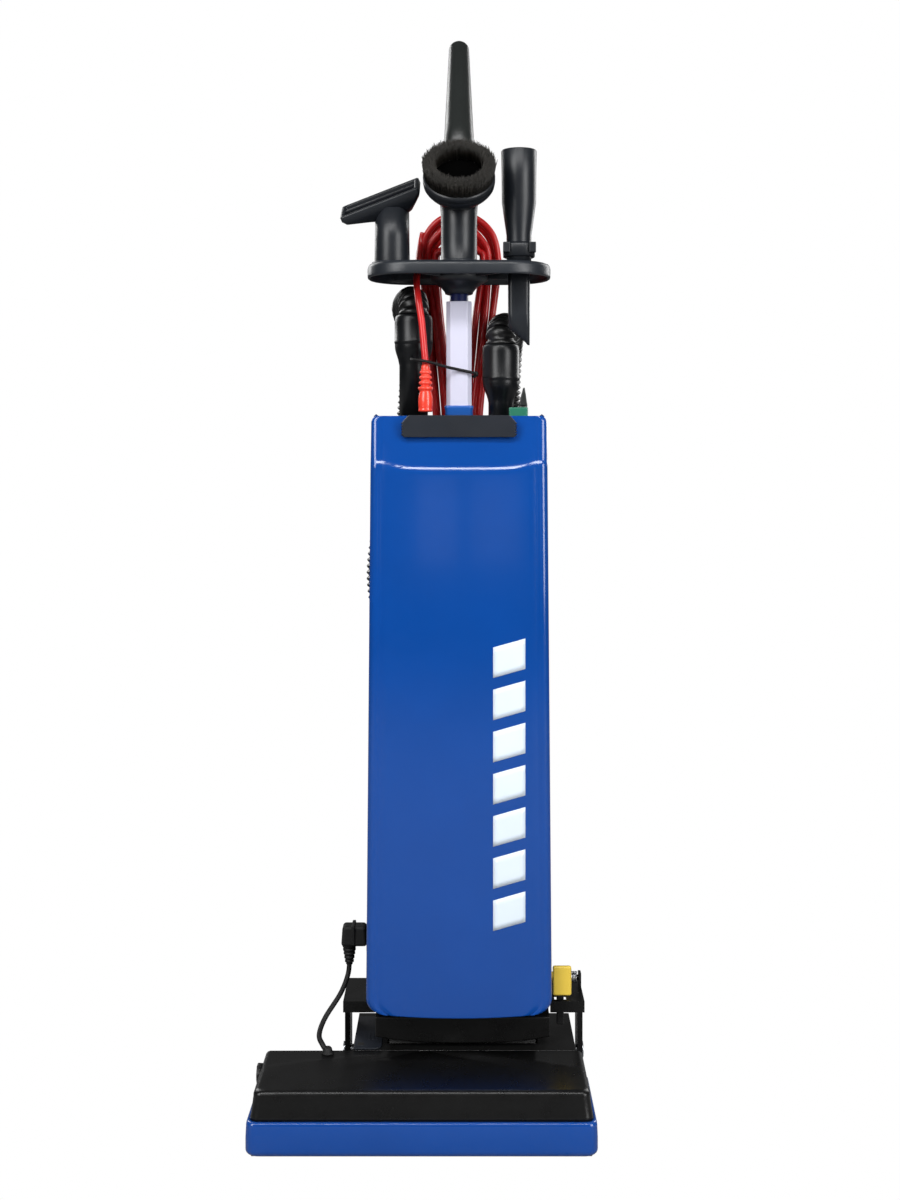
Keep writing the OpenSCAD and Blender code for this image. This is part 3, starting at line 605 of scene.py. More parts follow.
def bumper():
    """The blue bumper: a soft band round the front and sides with a rolled lower edge."""
    low, high = span("bumper")
    half = high.x
    levels = [(half - 9, low.y + 9, high.y, 8, low.z + 0.2)]
    for k in range(1, 8):
        a = math.radians(90 * k / 7)
        inset = 8 * (1 - math.sin(a))
        levels.append((half - inset, low.y + inset, high.y, 9, low.z + 8 * (1 - math.cos(a))))
    levels += [(half, low.y, high.y, 9, low.z + 20), (half - 0.6, low.y + 0.3, high.y, 9, high.z - 4),
               (half - 1.0, low.y + 0.8, high.y, 9, high.z - 1.6),
               (half - 2.2, low.y + 2, high.y, 9, high.z - 0.3),
               (half - 4.5, low.y + 4.5, high.y, 8, high.z)]
    wrap("bumper_band", levels, BLUE, "bumper", 3)


def head_cover():
    """The black cover: a leaning front, drafted sides, a round brow and a flat top."""
    low, high = span("head_cover")
    half, back = high.x, high.y
    levels = [(half, low.y, back, 9, low.z + 0.3), (half - 0.6, low.y + 0.8, back, 9, low.z + 3)]
    levels += [(half - 2.2, low.y + 3.2, back, 9, low.z + 15),
               (half - 3.0, low.y + 4.6, back, 9, high.z - 7)]
    for k in range(1, 9):
        a = math.radians(90 * k / 8)
        levels.append((half - 3 - 6 * (1 - math.cos(a)), low.y + 5 + 6 * (1 - math.cos(a)), back, 8,
                       high.z - 6 + 6 * math.sin(a) * 0.98))
    top = high.z - 0.12
    levels += [(half - 14, low.y + 16, back, 8, top), (half - 60, low.y + 50, back, 6, top + 0.1),
               (half - 120, low.y + 80, back, 4, top + 0.1), (6, back - 2, back, 1, top + 0.1)]
    wrap("head_top", levels, BLACK, "head_cover", 2.6)


def service_plate():
    """Dark grey plate with one round corner, a square window and three raised ribs."""
    low, high = span("service_plate")
    r = 9
    outline = [(low.x, low.y), (high.x - r, low.y)]
    for k in range(1, 7):
        a = math.radians(-90 + 90 * k / 6)
        outline.append((high.x - r + r * math.cos(a), low.y + r + r * math.sin(a)))
    outline += [(high.x, high.y), (low.x, high.y)]
    levels = [low.z + 0.1, high.z]
    verts = [Vector((x, y, z)) * MM for z in levels for x, y in outline]
    obj = piece("service_lid", verts, ring_faces(2, len(outline)), PLATE, "head",
                "service_plate", smooth=False)
    soften(obj, 0.5, 2)
    corner_box("service_window", (low.x + 4, low.y + 8, high.z - 1),
               (low.x + 11, low.y + 15, high.z + 0.15), RUBBER, "head", slot="grey_plate", edge=0.1,
               segments=1)
    for k in range(3):
        x = low.x + 15 + 4.5 * k
        corner_box(f"service_rib_{k}", (x, low.y + 22, high.z - 0.5),
                   (low.x + 17 + 4.5 * k, low.y + 42, high.z + 0.5), PLATE, "head",
                   edge=0.3, segments=2)


def brush_roll():
    """Two spiral rows of tufts on the brush roll."""
    low, high = span("brush_bristles")
    axis = Vector((0, (low.y + high.y) / 2, (low.z + high.z) / 2))
    core = (span("brush_core")[1].z - span("brush_core")[0].z) / 2
    tip = core + 10
    verts, faces = [], []
    for row in range(2):
        for k in range(44):
            x = low.x + 4 + (high.x - low.x - 8) * k / 43
            turn = math.radians(180 * row + 300 * k / 43)
            for _ in range(14):
                a = turn + random.uniform(-0.12, 0.12)
                dx = random.uniform(-2.4, 2.4)
                base = axis + Vector((x + dx, math.cos(a) * (core - 1), math.sin(a) * (core - 1)))
                b = a + random.uniform(-0.07, 0.07)
                length = tip - random.uniform(0, 1.2)
                end = axis + Vector((x + dx * 1.5, math.cos(b) * length, math.sin(b) * length))
                add_hair(verts, faces, base, end, 0.42, 0.25)
    return piece("roll_tufts", [v * MM for v in verts], faces, BRISTLE, "brush_roll", "brush_bristles")


def add_hair(verts, faces, base, end, r_base, r_end):
    """One three-sided bristle between two places, in millimetres."""
    along = (end - base).normalized()
    side = along.orthogonal().normalized()
    other = along.cross(side)
    start = len(verts)
    for place, r in ((base, r_base), (end, r_end)):
        for k in range(3):
            a = 2 * math.pi * k / 3
            verts.append(place + (side * math.cos(a) + other * math.sin(a)) * r)
    for k in range(3):
        b = (k + 1) % 3
        faces.append((start + k, start + b, start + 3 + b, start + 3 + k))
    faces.append((start + 2, start + 1, start))
    faces.append((start + 3, start + 4, start + 5))


def rear_wheel(node, body):
    """A wheel with a ribbed rubber tread and a dished hub."""
    low, high = span(node)
    r = (high.z - low.z) / 2
    w = high.x - low.x
    centre = (low + high) / 2 * MM
    profile = [(3.1, -w / 2 + 3), (8, -w / 2 + 3), (9, -w / 2 + 1), (13, -w / 2 + 1), (15, -w / 2 + 3),
               (r - 6, -w / 2 + 2.5), (r - 4.5, -w / 2), (r - 1.5, -w / 2), (r - 0.5, -w / 2 + 1.2)]
    for k in range(5):
        z = -w / 2 + 2 + (w - 4) * k / 4
        profile += [(r, z - 0.6), (r, z + 0.6)]
        if k < 4:
            profile.append((r - 0.9, z + (w - 4) / 8))
    profile += [(a, -b) for a, b in reversed(profile[:9])]
    profile.append(profile[0])
    return lathe(node + "_tyre", profile, centre, RUBBER, body, node, turn=ACROSS)


# ---------------------------------------------------------------- handle, caddy and tools

def collar():
    """Blue collar where the handle tube leaves the body."""
    low, high = span("lower_collar")
    w = high.x - low.x
    cx, cy = (low.x + high.x) / 2, (low.y + high.y) / 2
    levels = [(w - 4, w - 4, 4, cx, cy, low.z + 14), (w - 1, w - 1, 5, cx, cy, low.z + 15),
              (w - 1, w - 1, 5, cx, cy, high.z - 4), (w, w, 5, cx, cy, high.z - 3),
              (w, w, 5, cx, cy, high.z - 1), (w - 1.4, w - 1.4, 4, cx, cy, high.z)]
    return loft("tube_collar", levels, FITTING, "upper", "lower_collar")


def caddy():
    """Tool caddy: a stadium plate with a skirt, hollow and ribbed below, and raised tool sockets."""
    low, high = span("caddy")
    w, d = high.x - low.x, high.y - low.y
    cx, cy = (low.x + high.x) / 2, (low.y + high.y) / 2
    skirt = high.z - 16
    r = 50

    def rim(inset, z):
        return (w - 2 * inset, d - 2 * inset, r - inset, cx, cy, z)

    levels = [rim(3.2, high.z - 4), rim(3.2, skirt + 2), rim(2.6, skirt + 0.2), rim(1.2, skirt),
              rim(0.2, skirt + 0.8), rim(0, skirt + 3), rim(0, high.z - 5), rim(0.6, high.z - 2.6),
              rim(2.2, high.z - 0.9), rim(4.4, high.z - 0.1), rim(9, high.z), rim(40, high.z)]
    plate = loft("caddy_tray", levels, CADDY, "upper")
    for sign_x in (-1, 1):
        for sign_y in (-1, 1):
            start = Vector((cx + sign_x * 22, cy + sign_y * 10, 0))
            end = Vector((cx + sign_x * 78, cy + sign_y * 49, 0))
            along = (end - start).normalized()
            side = Vector((-along.y, along.x, 0))
            verts = []
            for place in (start, end):
                for off, z in ((-1, skirt + 5), (1, skirt + 5), (1, high.z - 3), (-1, high.z - 3)):
                    drop = -2.5 if z < high.z - 4 and place is start else 0
                    p = place + side * off
                    verts.append(Vector((p.x, p.y, z + drop)) * MM)
            rib = piece(f"caddy_rib_{sign_x + 1}_{sign_y + 1}", verts, ring_faces(2, 4), CADDY,
                        "upper", smooth=False)
            soften(rib, 0.4, 2)
    sockets = ((UPHOLSTERY_PLACE, 24), (CREVICE_PLACE, 22), (DUSTER_PLACE, 24))
    for k, (place, r_out) in enumerate(sockets):
        profile = [(r_out - 3, -0.3), (r_out - 3, 1.4), (r_out - 2, 2.4), (r_out - 0.6, 2.2),
                   (r_out, 1.0), (r_out + 0.6, -0.3)]
        profile.append(profile[0])
        lathe(f"caddy_socket_{k}", profile, at(*place, high.z), CADDY, "upper")
    hub = [(15, low.z + 0.2), (16.4, low.z + 0.8), (17, low.z + 3), (21, low.z + 8),
           (28, low.z + 13), (34, low.z + 16.4), (34, high.z - 4), (4, high.z - 4)]
    lathe("caddy_hub", hub, at(0, TUBE_Y, 0), CADDY, "upper")
    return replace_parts(plate, "caddy")


def grip():
    """The grip: an upright stem that bends back and tapers to a round end."""
    low, high = span("grip")
    r = (high.x - low.x) / 2
    lean = math.radians(32)
    bend = 1112
    path = [Vector((0, 0, low.z + k)) for k in (0, 3, 6, 8, 9, 60, 120)]
    radii = [r, r, r - 0.2, r - 0.6, r - 1.2, r - 1.2, r - 1.0]
    steps = 9
    turn_r = 46
    start = Vector((0, 0, bend - turn_r * math.tan(lean / 2)))
    for k in range(steps + 1):
        a = lean * k / steps
        path.append(start + Vector((0, turn_r * (1 - math.cos(a)), turn_r * math.sin(a))))
        radii.append(r - 0.6 + 0.3 * math.sin(math.pi * k / steps))
    along = Vector((0, math.sin(lean), math.cos(lean)))
    begin = path[-1]
    end_r = 13
    length = (high.z - end_r - bend) / math.cos(lean) - turn_r * math.tan(lean / 2)
    for k in range(1, 13):
        path.append(begin + along * length * k / 12)
        radii.append(r - 0.7 - (r - 13.3) * k / 12)
    for k in range(1, 9):
        a = math.radians(90 * k / 8)
        path.append(begin + along * (length + 12.6 * math.sin(a)))
        radii.append(max(12.8 * math.cos(a), 0.3))
    places = [at(p.x, TUBE_Y + p.y, p.z) for p in path]
    sweep("grip_body", places, radii, 40, GRIP, "upper", "grip")
    lathe("grip_ferrule", [(r + 0.2, 0), (r + 1.6, 0.6), (r + 1.6, 9), (r + 0.4, 11), (r - 1, 11)],
          at(0, TUBE_Y, low.z), GRIP, "upper")


def crevice_tool():
    """Crevice tool: open cuff on top, taper, locking collar with lugs, flat nozzle with a slanted tip."""
    low, high = span("crevice_tool")
    centre = at(*CREVICE_PLACE, 0)
    r = (high.x - low.x) / 2
    outer = [(17.5, 1036), (17.5, high.z - 1.2), (18.2, high.z - 0.2), (r - 0.8, high.z), (r, high.z - 1.0),
             (r - 0.5, high.z - 30), (r - 0.8, 1034), (17.2, 1014), (14.6, 996), (14.4, 976),
             (14.4, 963), (11, 963), (11, 1030), (17.5, 1036)]
    cuff = lathe("crevice_cuff", outer, centre, TOOL, "crevice", "crevice_tool")
    collar_levels = [(33, 30, 12, 0, 0, 970), (36.6, 33, 12, 0, 0, 971), (37, 34, 12, 0, 0, 984),
                     (34, 31, 12, 0, 0, 987), (29, 28, 12, 0, 0, 987.4)]
    loft("crevice_collar", collar_levels, TOOL, "crevice", origin=centre)
    for s in (-1, 1):
        x = BODY_X + CREVICE_PLACE[0] + s * 15
        corner_box(f"crevice_lug_{s + 1}", (x - 4, 2, 974), (x + 4, 10, 986), TOOL, "crevice", edge=1.0)
    verts = []
    levels = [(12.4, 7.2, 963), (12.8, 6.6, 940), (12.6, 6.4, 905), (12.4, 6.2, 0)]
    rings = 0
    for half, deep, z in levels:
        for x, y in rounded_loop(2 * half, 2 * deep, deep - 1.5, (0, 0)):
            height = z if z else low.z + 20 * (half - x) / (2 * half)
            verts.append(centre + Vector((x, y, height)) * MM)
        rings += 1
    around = len(verts) // rings
    nozzle = piece("crevice_nozzle", verts, ring_faces(rings, around, caps=False), TOOL, "crevice")
    thicken(nozzle, 2)
    return cuff


def upholstery_tool():
    """Upholstery tool: a round neck under a tilted wedge head with an open slot mouth."""
    centre = at(*UPHOLSTERY_PLACE, 0)
    head_z = 1031
    caddy_z = span("caddy")[1].z
    neck_profile = [(20.4, caddy_z + 0.2), (20.6, caddy_z + 2), (20.2, caddy_z + 30), (19.8, head_z - 5),
                    (10, head_z - 5)]
    lathe("upholstery_neck", neck_profile, centre, TOOL, "upholstery")
    tilt = Matrix.Rotation(math.radians(30), 3, "X") @ Matrix.Rotation(math.radians(-22), 3, "Y")
    origin = centre + Vector((-11, 0, head_z)) * MM
    wedge = [(38, 20, 8, 12, 0, -16), (60, 30, 7, 8, 0, -9), (92, 37, 6, 0, 0, -1), (97, 38, 5, 0, 0, 3),
             (98, 38, 3, 0, 0, 4), (98, 38, 3, 0, 0, 9.6), (96.6, 36.6, 3, 0, 0, 10.6),
             (89, 29, 2, 0, 0, 10.6), (88, 28, 2, 0, 0, 9.6), (87, 27, 2, 0, 0, -2), (60, 12, 2, 0, 0, -5)]
    head = loft("upholstery_head", wedge, TOOL, "upholstery", "upholstery_tool",
                turn=tilt, origin=origin)
    bar = [(90, 2.4, 1, 0, 4, 1), (90, 2.4, 1, 0, 4, 8.6), (89, 1.6, 0.7, 0, 4, 9.2)]
    loft("upholstery_divider", bar, TOOL, "upholstery", turn=tilt, origin=origin)
    return head


def dusting_brush():
    """Dusting brush: a neck, a tilted bell and a thick ring of dark bristles round an open middle, closed
    by a near-black disc of painted shade.
    """
    base = at(*DUSTER_PLACE, 0)
    caddy_z = span("caddy")[1].z
    lean = math.radians(50)
    tilt = Matrix.Rotation(lean, 3, "X")
    pivot_z = 1033
    pivot = base + Vector((0, 0, pivot_z)) * MM
    path = [Vector((0, 0, caddy_z + k)) for k in (0.2, 1.5, 3)]
    radii = [21.4, 22, 20.9]
    bend = pivot_z - 16
    path += [Vector((0, 0, z)) for z in (985, 1004, bend)]
    radii += [20.8, 20.8, 21]
    axis = tilt @ Vector((0, 0, 1))
    for k in range(1, 8):
        a = lean * k / 7
        path.append(Vector((0, -20 * (1 - math.cos(a)), bend + 20 * math.sin(a))))
        radii.append(21 + 1.2 * k / 7)
    neck_end = path[-1]
    flare = [(4, 23.5), (9, 27), (14, 31.5), (19, 36), (23, 39), (26, 40.6), (29, 41), (35, 41),
             (36.5, 40.2)]
    for along, radius in flare:
        path.append(neck_end + axis * along)
        radii.append(radius)
    shift = pivot + axis * 36.5 * MM - (base + path[-1] * MM)
    places = []
    for i, p in enumerate(path):
        blend = min(1.0, max(0.0, (i - 5) / 8))
        places.append(base + p * MM + shift * blend)
    sweep("duster_bell", places, radii, 56, TOOL, "duster", "dusting_brush")
    mouth = [(31, 34), (31, 38), (33, 38.4), (41, 38), (41.3, 36), (41.3, 30.6), (40.4, 30), (31, 34)]
    lathe("duster_rim", mouth, pivot, TOOL, "duster", turn=tilt)
    # A near-black disc across the open middle: painted shade for the depth inside the bell.
    dark = [(31.6, 36), (31.6, 37.9), (24, 38), (3, 38.1)]
    lathe("duster_throat_shade", dark, pivot, PAINTED_SHADE, "duster", turn=tilt)
    verts, faces = [], []
    for _ in range(6400):
        a = random.uniform(0, 2 * math.pi)
        r = math.sqrt(random.uniform(28 ** 2, 39.2 ** 2))
        out = (r - 32.5) / 7
        length = random.uniform(18.5, 23.5) - 1.2 * abs(out)
        splay = 1.8 * max(0.0, out) + random.gauss(0.3, 1.2)
        b = a + random.gauss(0, 0.025)
        start = Vector((r * math.cos(a), r * math.sin(a), 37.5))
        end = Vector(((r + splay) * math.cos(b), (r + splay) * math.sin(b), 37.5 + length))
        add_hair(verts, faces, tilt @ start, tilt @ end, 0.5, 0.2)
    piece("duster_bristles", [pivot + v * MM for v in verts], faces, BRISTLE, "duster",
          "dusting_bristles")


# ---------------------------------------------------------------- hose and cords

def hose():
    """The corrugated hose, from cuff to cuff through its hanging loop."""
    low, high = span("hose")
    wand_low, wand_high = span("wand_cuff")
    inlet_low, inlet_high = span("inlet_cuff")
    y = (wand_low.y + wand_high.y) / 2
    left = (wand_low.x + wand_high.x) / 2 - BODY_X
    right = (inlet_low.x + inlet_high.x) / 2 - BODY_X
    r = 18
    back = high.y - r
    foot = low.z + r
    edge = low.x + r - BODY_X
    top = wand_high.z
    points = [(left, y, top - 20), (left, y, top - 6), (left, y + 3, top + 8), (left - 3, y + 20, top + 19),
              (left - 10, y + 48, top + 13), (left - 5, back - 15, top - 10), (left - 2, back - 3, 840),
              (left - 12, back, 740), (left - 36, back, 650), (edge, back, 580),
              (edge + 17, back, foot + 42), (-44, back, foot + 10), (0, back, foot), (44, back, foot + 12),
              (76, back, foot + 52), (88, back, foot + 130), (78, back, 700), (60, back - 3, 800),
              (60, back - 17, 862), (61, y + 45, 890), (54, y + 20, 892.5), (right, y + 2, 882),
              (right, y, 868), (right, y, 850)]
    per_ridge = 6
    pitch = 7.2
    path = evenly([at(*p) for p in curve_through(points, 24)], pitch / per_ridge * MM)
    waves = [0.5 + 0.5 * math.cos(2 * math.pi * i / per_ridge) for i in range(len(path))]
    radii = [r - 2.8 + 3.2 * wave ** 0.7 for wave in waves]
    sweep("hose_tube", path, radii, 28, HOSE, "upper", "hose")


def cuff(node, name):
    """A moulded hose cuff with finger grooves, a stepped waist and a narrow spigot."""
    low, high = span(node)
    centre = axis_of(node)
    r = (high.x - low.x) / 2
    narrow = 17 if node == "wand_cuff" else 15
    waist = {"wand_cuff": (850, 872), "inlet_cuff": (806, 829)}[node]
    top = high.z
    profile = [(narrow, waist[0] - 70), (narrow, waist[0] - 4), (narrow + 0.8, waist[0])]
    for k in range(1, 7):
        t = k / 6
        profile.append((narrow + 0.8 + (r - narrow - 1.4) * math.sin(t * math.pi / 2) ** 1.4,
                        waist[0] + (waist[1] - waist[0] - 2) * t))
    profile += [(r - 0.6, waist[1]), (r, waist[1] + 1.0), (r, waist[1] + 3), (r - 0.5, waist[1] + 4),
                (r - 0.4, top - 9), (r - 0.9, top - 3), (r - 2.2, top - 0.6), (r - 3.6, top),
                (19.4, top - 0.8), (19.4, top - 10), (12, top - 12)]
    return lathe(name, profile, centre, CUFF, "upper", node)


def socket_ring(node, name):
    """The flange of a hose socket on the body's top."""
    low, high = span(node)
    centre = Vector(((low.x + high.x) / 2, span("wand_cuff")[0].y + 23, 0)) * MM
    top = high.z
    bore = 17.4 if node == "riser_tube" else 15.6
    profile = [(bore, top - 9), (bore, top - 0.6), (bore + 1, top), (21.6, top), (22.6, top - 1),
               (22.8, top - 8), (25.5, top - 9.4), (25.5, top - 10.2), (bore, top - 9)]
    return lathe(name, profile, centre, DARK, "upper")


def cord_loop(inset, depth, phase, lift):
    """One turn of the stored cord, a tall loop that narrows downwards."""
    low, high = span("power_cord")
    right = [(0, low.z + 5), (13, low.z + 11), (20, low.z + 40), (27, 793), (39, 900), (45.5, 960),
             (46, 985), (40, 1010), (23, 1028), (0, high.z - 5)]
    points = []
    for x, z in right + [(-x, z) for x, z in reversed(right[1:-1])]:
        narrow = max(0.0, abs(x) - inset * min(1.0, abs(x) / 22))
        side = 1 if x >= 0 else -1
        drop = inset * (1.15 if z > 990 else -0.6 if z < low.z + 50 else 0)
        wave = 1.6 * math.sin(z / 47 + phase)
        points.append(at(side * narrow + wave, depth + 1.5 * math.sin(z / 60 + 2 * phase), z - drop + lift))
    return curve_through(points, 7, closed=True)


def power_cord():
    """The stored cord: several loose turns over the hooks, and the strand that ends in the plug."""
    first = None
    turns = ((0, 105.5, 0.0, 0), (1.5, 114, 1.3, -2), (9, 106, 2.1, 2), (10, 114.5, 3.4, -3),
             (17.5, 105.5, 4.4, 0), (18, 114, 5.2, 4))
    for k, (inset, depth, phase, lift) in enumerate(turns):
        turn = sweep(f"cord_turn_{k}", cord_loop(inset, depth, phase, lift), 4.1, 14, RED, "upper",
                     closed=True)
        first = first or turn
    strand = [(-39, 20, 846), (-41, 21, 868), (-43.5, 23, 895), (-48, 28, 925), (-50, 44, 944),
              (-50, 62, 957), (-49, 84, 975), (-47, 103, 996), (-44, 106, 1012)]
    sweep("cord_strand", [at(*p) for p in curve_through(strand, 8)], 4.0, 14, RED, "upper")
    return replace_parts(first, "power_cord")


def plug():
    """The cord's plug: a waisted body and a ribbed strain relief."""
    low, high = span("cord_plug")
    centre = axis_of("cord_plug")
    z = low.z
    profile = [(0.3, z), (7.2, z), (8.3, z + 0.8), (8.5, z + 2.4), (7.9, z + 3.4), (8.3, z + 5),
               (8.6, z + 12), (8.3, z + 18), (7.0, z + 23), (6.8, z + 24.5)]
    for k, r in enumerate((8.8, 7.9, 7.4, 6.9)):
        foot = z + 26 + 6.2 * k
        profile += [(r - 0.4, foot), (r, foot + 1.0), (r, foot + 2.4), (r - 0.6, foot + 3.2),
                    (5.4, foot + 4.0), (5.2, foot + 5.4)]
    profile += [(5.4, high.z - 5), (4.8, high.z - 1), (3.2, high.z)]
    return lathe("plug_body", profile, centre, PLUG, "upper", "cord_plug", around=48)


def cord_tie():
    """Thin black tie across the tube and the cord."""
    places = [(-56, 32, 853), (-55.5, 24, 851.5), (-50, 15, 850.5), (-36, 11.5, 848), (-18, 22, 843.5),
              (0, 31.4, 840), (14, 31.6, 837), (19, 38, 835.5), (19.5, 60, 834), (10, 67.5, 834),
              (-4, 68, 834)]
    path = [at(*p) for p in curve_through(places, 7)]
    sweep("tie_wire", path, 1.7, 12, RUBBER, "upper", "cord_tie")
    lathe("tie_knot", [(0.2, -3), (2.0, -2.6), (2.7, -1), (2.7, 1), (2.0, 2.6), (0.2, 3)],
          at(20, 38, 835.5), RUBBER, "upper", around=20)


def pigtail():
    """The head's plug and lead: an angled plug on the body's side and a thin lead to the head."""
    low, high = span("pigtail_plug")
    mid_y = (low.y + high.y) / 2
    side = Vector((shell_low.x, mid_y, 0))
    corner_box("pigtail_socket", (side.x - 3, mid_y - 15, 168), (side.x + 2, mid_y + 15, 202),
               DARK, "upper", slot="black_rubber", edge=1.6)
    corner_box("pigtail_body", (low.x, low.y, high.z - 23), (side.x - 2.6, high.y, high.z), RUBBER,
               "upper", "pigtail_plug", taper=(1.5, 1.5), edge=3.5, segments=4)
    corner_box("pigtail_shoulder", (low.x + 12, low.y - 1.4, high.z - 21),
               (low.x + 16, high.y + 1.4, high.z + 1.2), RUBBER, "upper", edge=1.0)
    x = low.x + 9
    profile = [(8.8, high.z - 20)]
    z = high.z - 23
    for k in range(5):
        r = 8.2 - 0.75 * k
        profile += [(r, z), (r, z - 2.2), (r - 1.3, z - 2.7), (r - 1.4, z - 4.0)]
        z -= 4.5
    profile += [(4.0, z), (3.0, z - 1.2)]
    lathe("pigtail_boot", profile, Vector((x, mid_y, 0)) * MM, RUBBER, "upper", around=40)
    hood = span("head_cover")[1]
    end = (-146, -58, hood.z + 1)
    places = [(x - BODY_X, mid_y, z + 2), (x - BODY_X - 1.5, mid_y - 3, z - 12), (-136, mid_y - 16, z - 29),
              (-152, -24, z - 50), (-157, -42, z - 62), (-152, -54, hood.z + 8), end]
    path = [at(*p) for p in curve_through(places, 8)]
    lead = sweep("pigtail_lead", path, 2.9, 14, RUBBER, None, "pigtail_cord")
    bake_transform(lead)
    lathe("pigtail_grommet", [(0.5, -1), (7, -0.8), (7, 0.6), (5.4, 1.6), (4.6, 5), (3.2, 6.4), (3.0, 6.4)],
          at(*end), RUBBER, "head", around=32)


# ---------------------------------------------------------------- small moving parts

def pedal():
    """The yellow foot pedal: a ribbed plate on its lever."""
    low, high = span("release_pedal")
    plate = corner_box("pedal_plate", (low.x, low.y, high.z - 33), (high.x, low.y + 6, high.z),
                       YELLOW, "pedal", edge=2.2, segments=4)
    mid = (low.x + high.x) / 2
    corner_box("pedal_web", (low.x + 2, low.y + 3, 129.2), (high.x - 2, 20, 133),
               YELLOW, "pedal", edge=1.0)
    corner_box("pedal_leg", (mid - 4.6, -12, low.z), (mid + 3.4, -4, 131),
               DARK, "pedal", slot="yellow_pedal", edge=1.0)
    ring = [(3.05, -10.4), (6, -10.4), (6.2, -9.6), (6.2, 9.6), (6, 10.4), (3.05, 10.4), (3.05, -10.4)]
    lathe("pedal_hub", ring, Vector((mid, 20, 131)) * MM, YELLOW, "pedal", turn=ACROSS, around=32)
    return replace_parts(plate, "release_pedal")


def pedal_spring():
    """Torsion spring round the pedal's pin."""
    low, high = span("pedal_spring")
    mid = (low + high) / 2
    points = []
    turns, steps = 4.2, 96
    for k in range(steps + 1):
        a = 2 * math.pi * turns * k / steps
        x = low.x + 1 + (high.x - low.x - 2) * k / steps
        points.append(Vector((x, mid.y + 6 * math.cos(a), mid.z + 6 * math.sin(a))) * MM)
    sweep("pedal_coil", points, 0.8, 10, STEEL, "pedal", "pedal_spring")


def power_switch():
    """Wedge lever of the power switch on its green base."""
    low, high = span("power_switch")
    verts = []
    foot = low.z + 8
    y1, y2 = low.y, high.y
    levels = ((foot, 0.0), (foot + 5, 0.25), (foot + 13, 0.6), (high.z - 2, 0.94), (high.z, 1.0))
    for z, t in levels:
        x1 = low.x + 4.9 * t
        x2 = high.x - 3 * t
        for x, y in ((x1, y1 + t), (x2, y1 + t), (x2, y2 - t), (x1, y2 - t)):
            verts.append(Vector((x, y, z)) * MM)
    lever = piece("switch_lever", verts, ring_faces(len(levels), 4), GRIP, "switch",
                  "power_switch", smooth=False)
    soften(lever, 1.2, 3, 25)
    half = (high.x - low.x) / 2
    ring = [(0.3, -half), (5.2, -half), (5.9, 0.7 - half), (5.9, half - 0.7), (5.2, half), (0.3, half)]
    middle = Vector(((low.x + high.x) / 2, (low.y + high.y) / 2, low.z + 6)) * MM
    lathe("switch_foot", ring, middle, GRIP, "switch", turn=ACROSS, around=40)
    low, high = span("switch_base")
    corner_box("switch_plinth", low, high, GREEN, "upper", "switch_base", edge=1.2)


def height_knob():
    """Brush height knob in the side of the head: a scalloped disc with a pointer bar."""
    low, high = span("height_knob")
    centre = (low + high) / 2
    verts = []
    around = 72
    levels = [(high.x, 0.45), (low.x + 8, 0.45), (low.x + 7.6, 0.96), (low.x + 1.8, 1.0),
              (low.x + 0.8, 0.94), (low.x + 0.6, 0.6), (low.x + 0.6, 0.05)]
    for x, k in levels:
        for a in range(around):
            t = 2 * math.pi * a / around
            scallop = 1 - 0.045 * (0.5 + 0.5 * math.cos(12 * t)) * (1 if k > 0.9 else 0)
            r = (high.z - low.z) / 2 * k * scallop
            verts.append(Vector((x, centre.y + r * math.cos(t), centre.z + r * math.sin(t))) * MM)
    piece("knob_disc", verts, ring_faces(len(levels), around), DARK, "knob", "height_knob")
    corner_box("knob_pointer", (low.x + 0.05, centre.y - 1.2, centre.z - 8),
               (low.x + 1.2, centre.y + 1.2, centre.z + 8), PLATE, "knob", slot="dark_plastic", edge=0.4)


def cord_hook():
    """The upper cord hook: a round stem, an arm and a turned-up lip."""
    low, high = span("upper_cord_hook")
    z = low.z + 7
    path = [at(0, y, z) for y in (low.y, low.y + 8, low.y + 30, low.y + 42)]
    stem = sweep("hook_stem", path, 6.9, 32, DARK, "cord_hook", "upper_cord_hook")
    soften(stem, 1.0)
    corner_box("hook_arm", (BODY_X - 6, high.y - 22, z - 6), (BODY_X + 6, high.y, z + 14), DARK,
               "cord_hook", edge=2.0)
    corner_box("hook_lip", (BODY_X - 12, high.y - 4, z - 2), (BODY_X + 12, high.y, high.z), DARK,
               "cord_hook", edge=1.8)


def filter_bag():
    """The paper filter bag: a swollen, creased sack under its card collar."""
    low, high = span("filter_bag")
    cx = (low.x + high.x) / 2
    front = low.y
    deep = 72
    cy = front + deep / 2
    verts, levels, around = [], 34, 72
    for j in range(levels + 1):
        t = j / levels
        z = low.z + 1 + (380 - 2) * t
        pinch = 1 - 0.55 * abs(2 * t - 1) ** 7
        for k in range(around):
            a = 2 * math.pi * k / around
            c, s = math.cos(a), math.sin(a)
            x = 83 * math.copysign(abs(c) ** 0.45, c)
            y = 34 * pinch * math.copysign(abs(s) ** 0.6, s)
            crease = (1.1 * math.sin(9 * a + 3 * t) * math.sin(23 * t + 2 * c)
                      + 0.7 * math.sin(31 * t + 5 * a))
            verts.append(Vector((cx + x + crease * c, cy + y + crease * s, z)) * MM)
    piece("bag_sack", verts, ring_faces(levels + 1, around), PAPER, "upper", "filter_bag")
    collar_x = BODY_X + 50
    corner_box("bag_collar", (collar_x - 28, cy + 32, 684), (collar_x + 28, cy + 37, 742), PAPER,
               "upper", edge=0.8)


# ---------------------------------------------------------------- carried-over CAD nodes

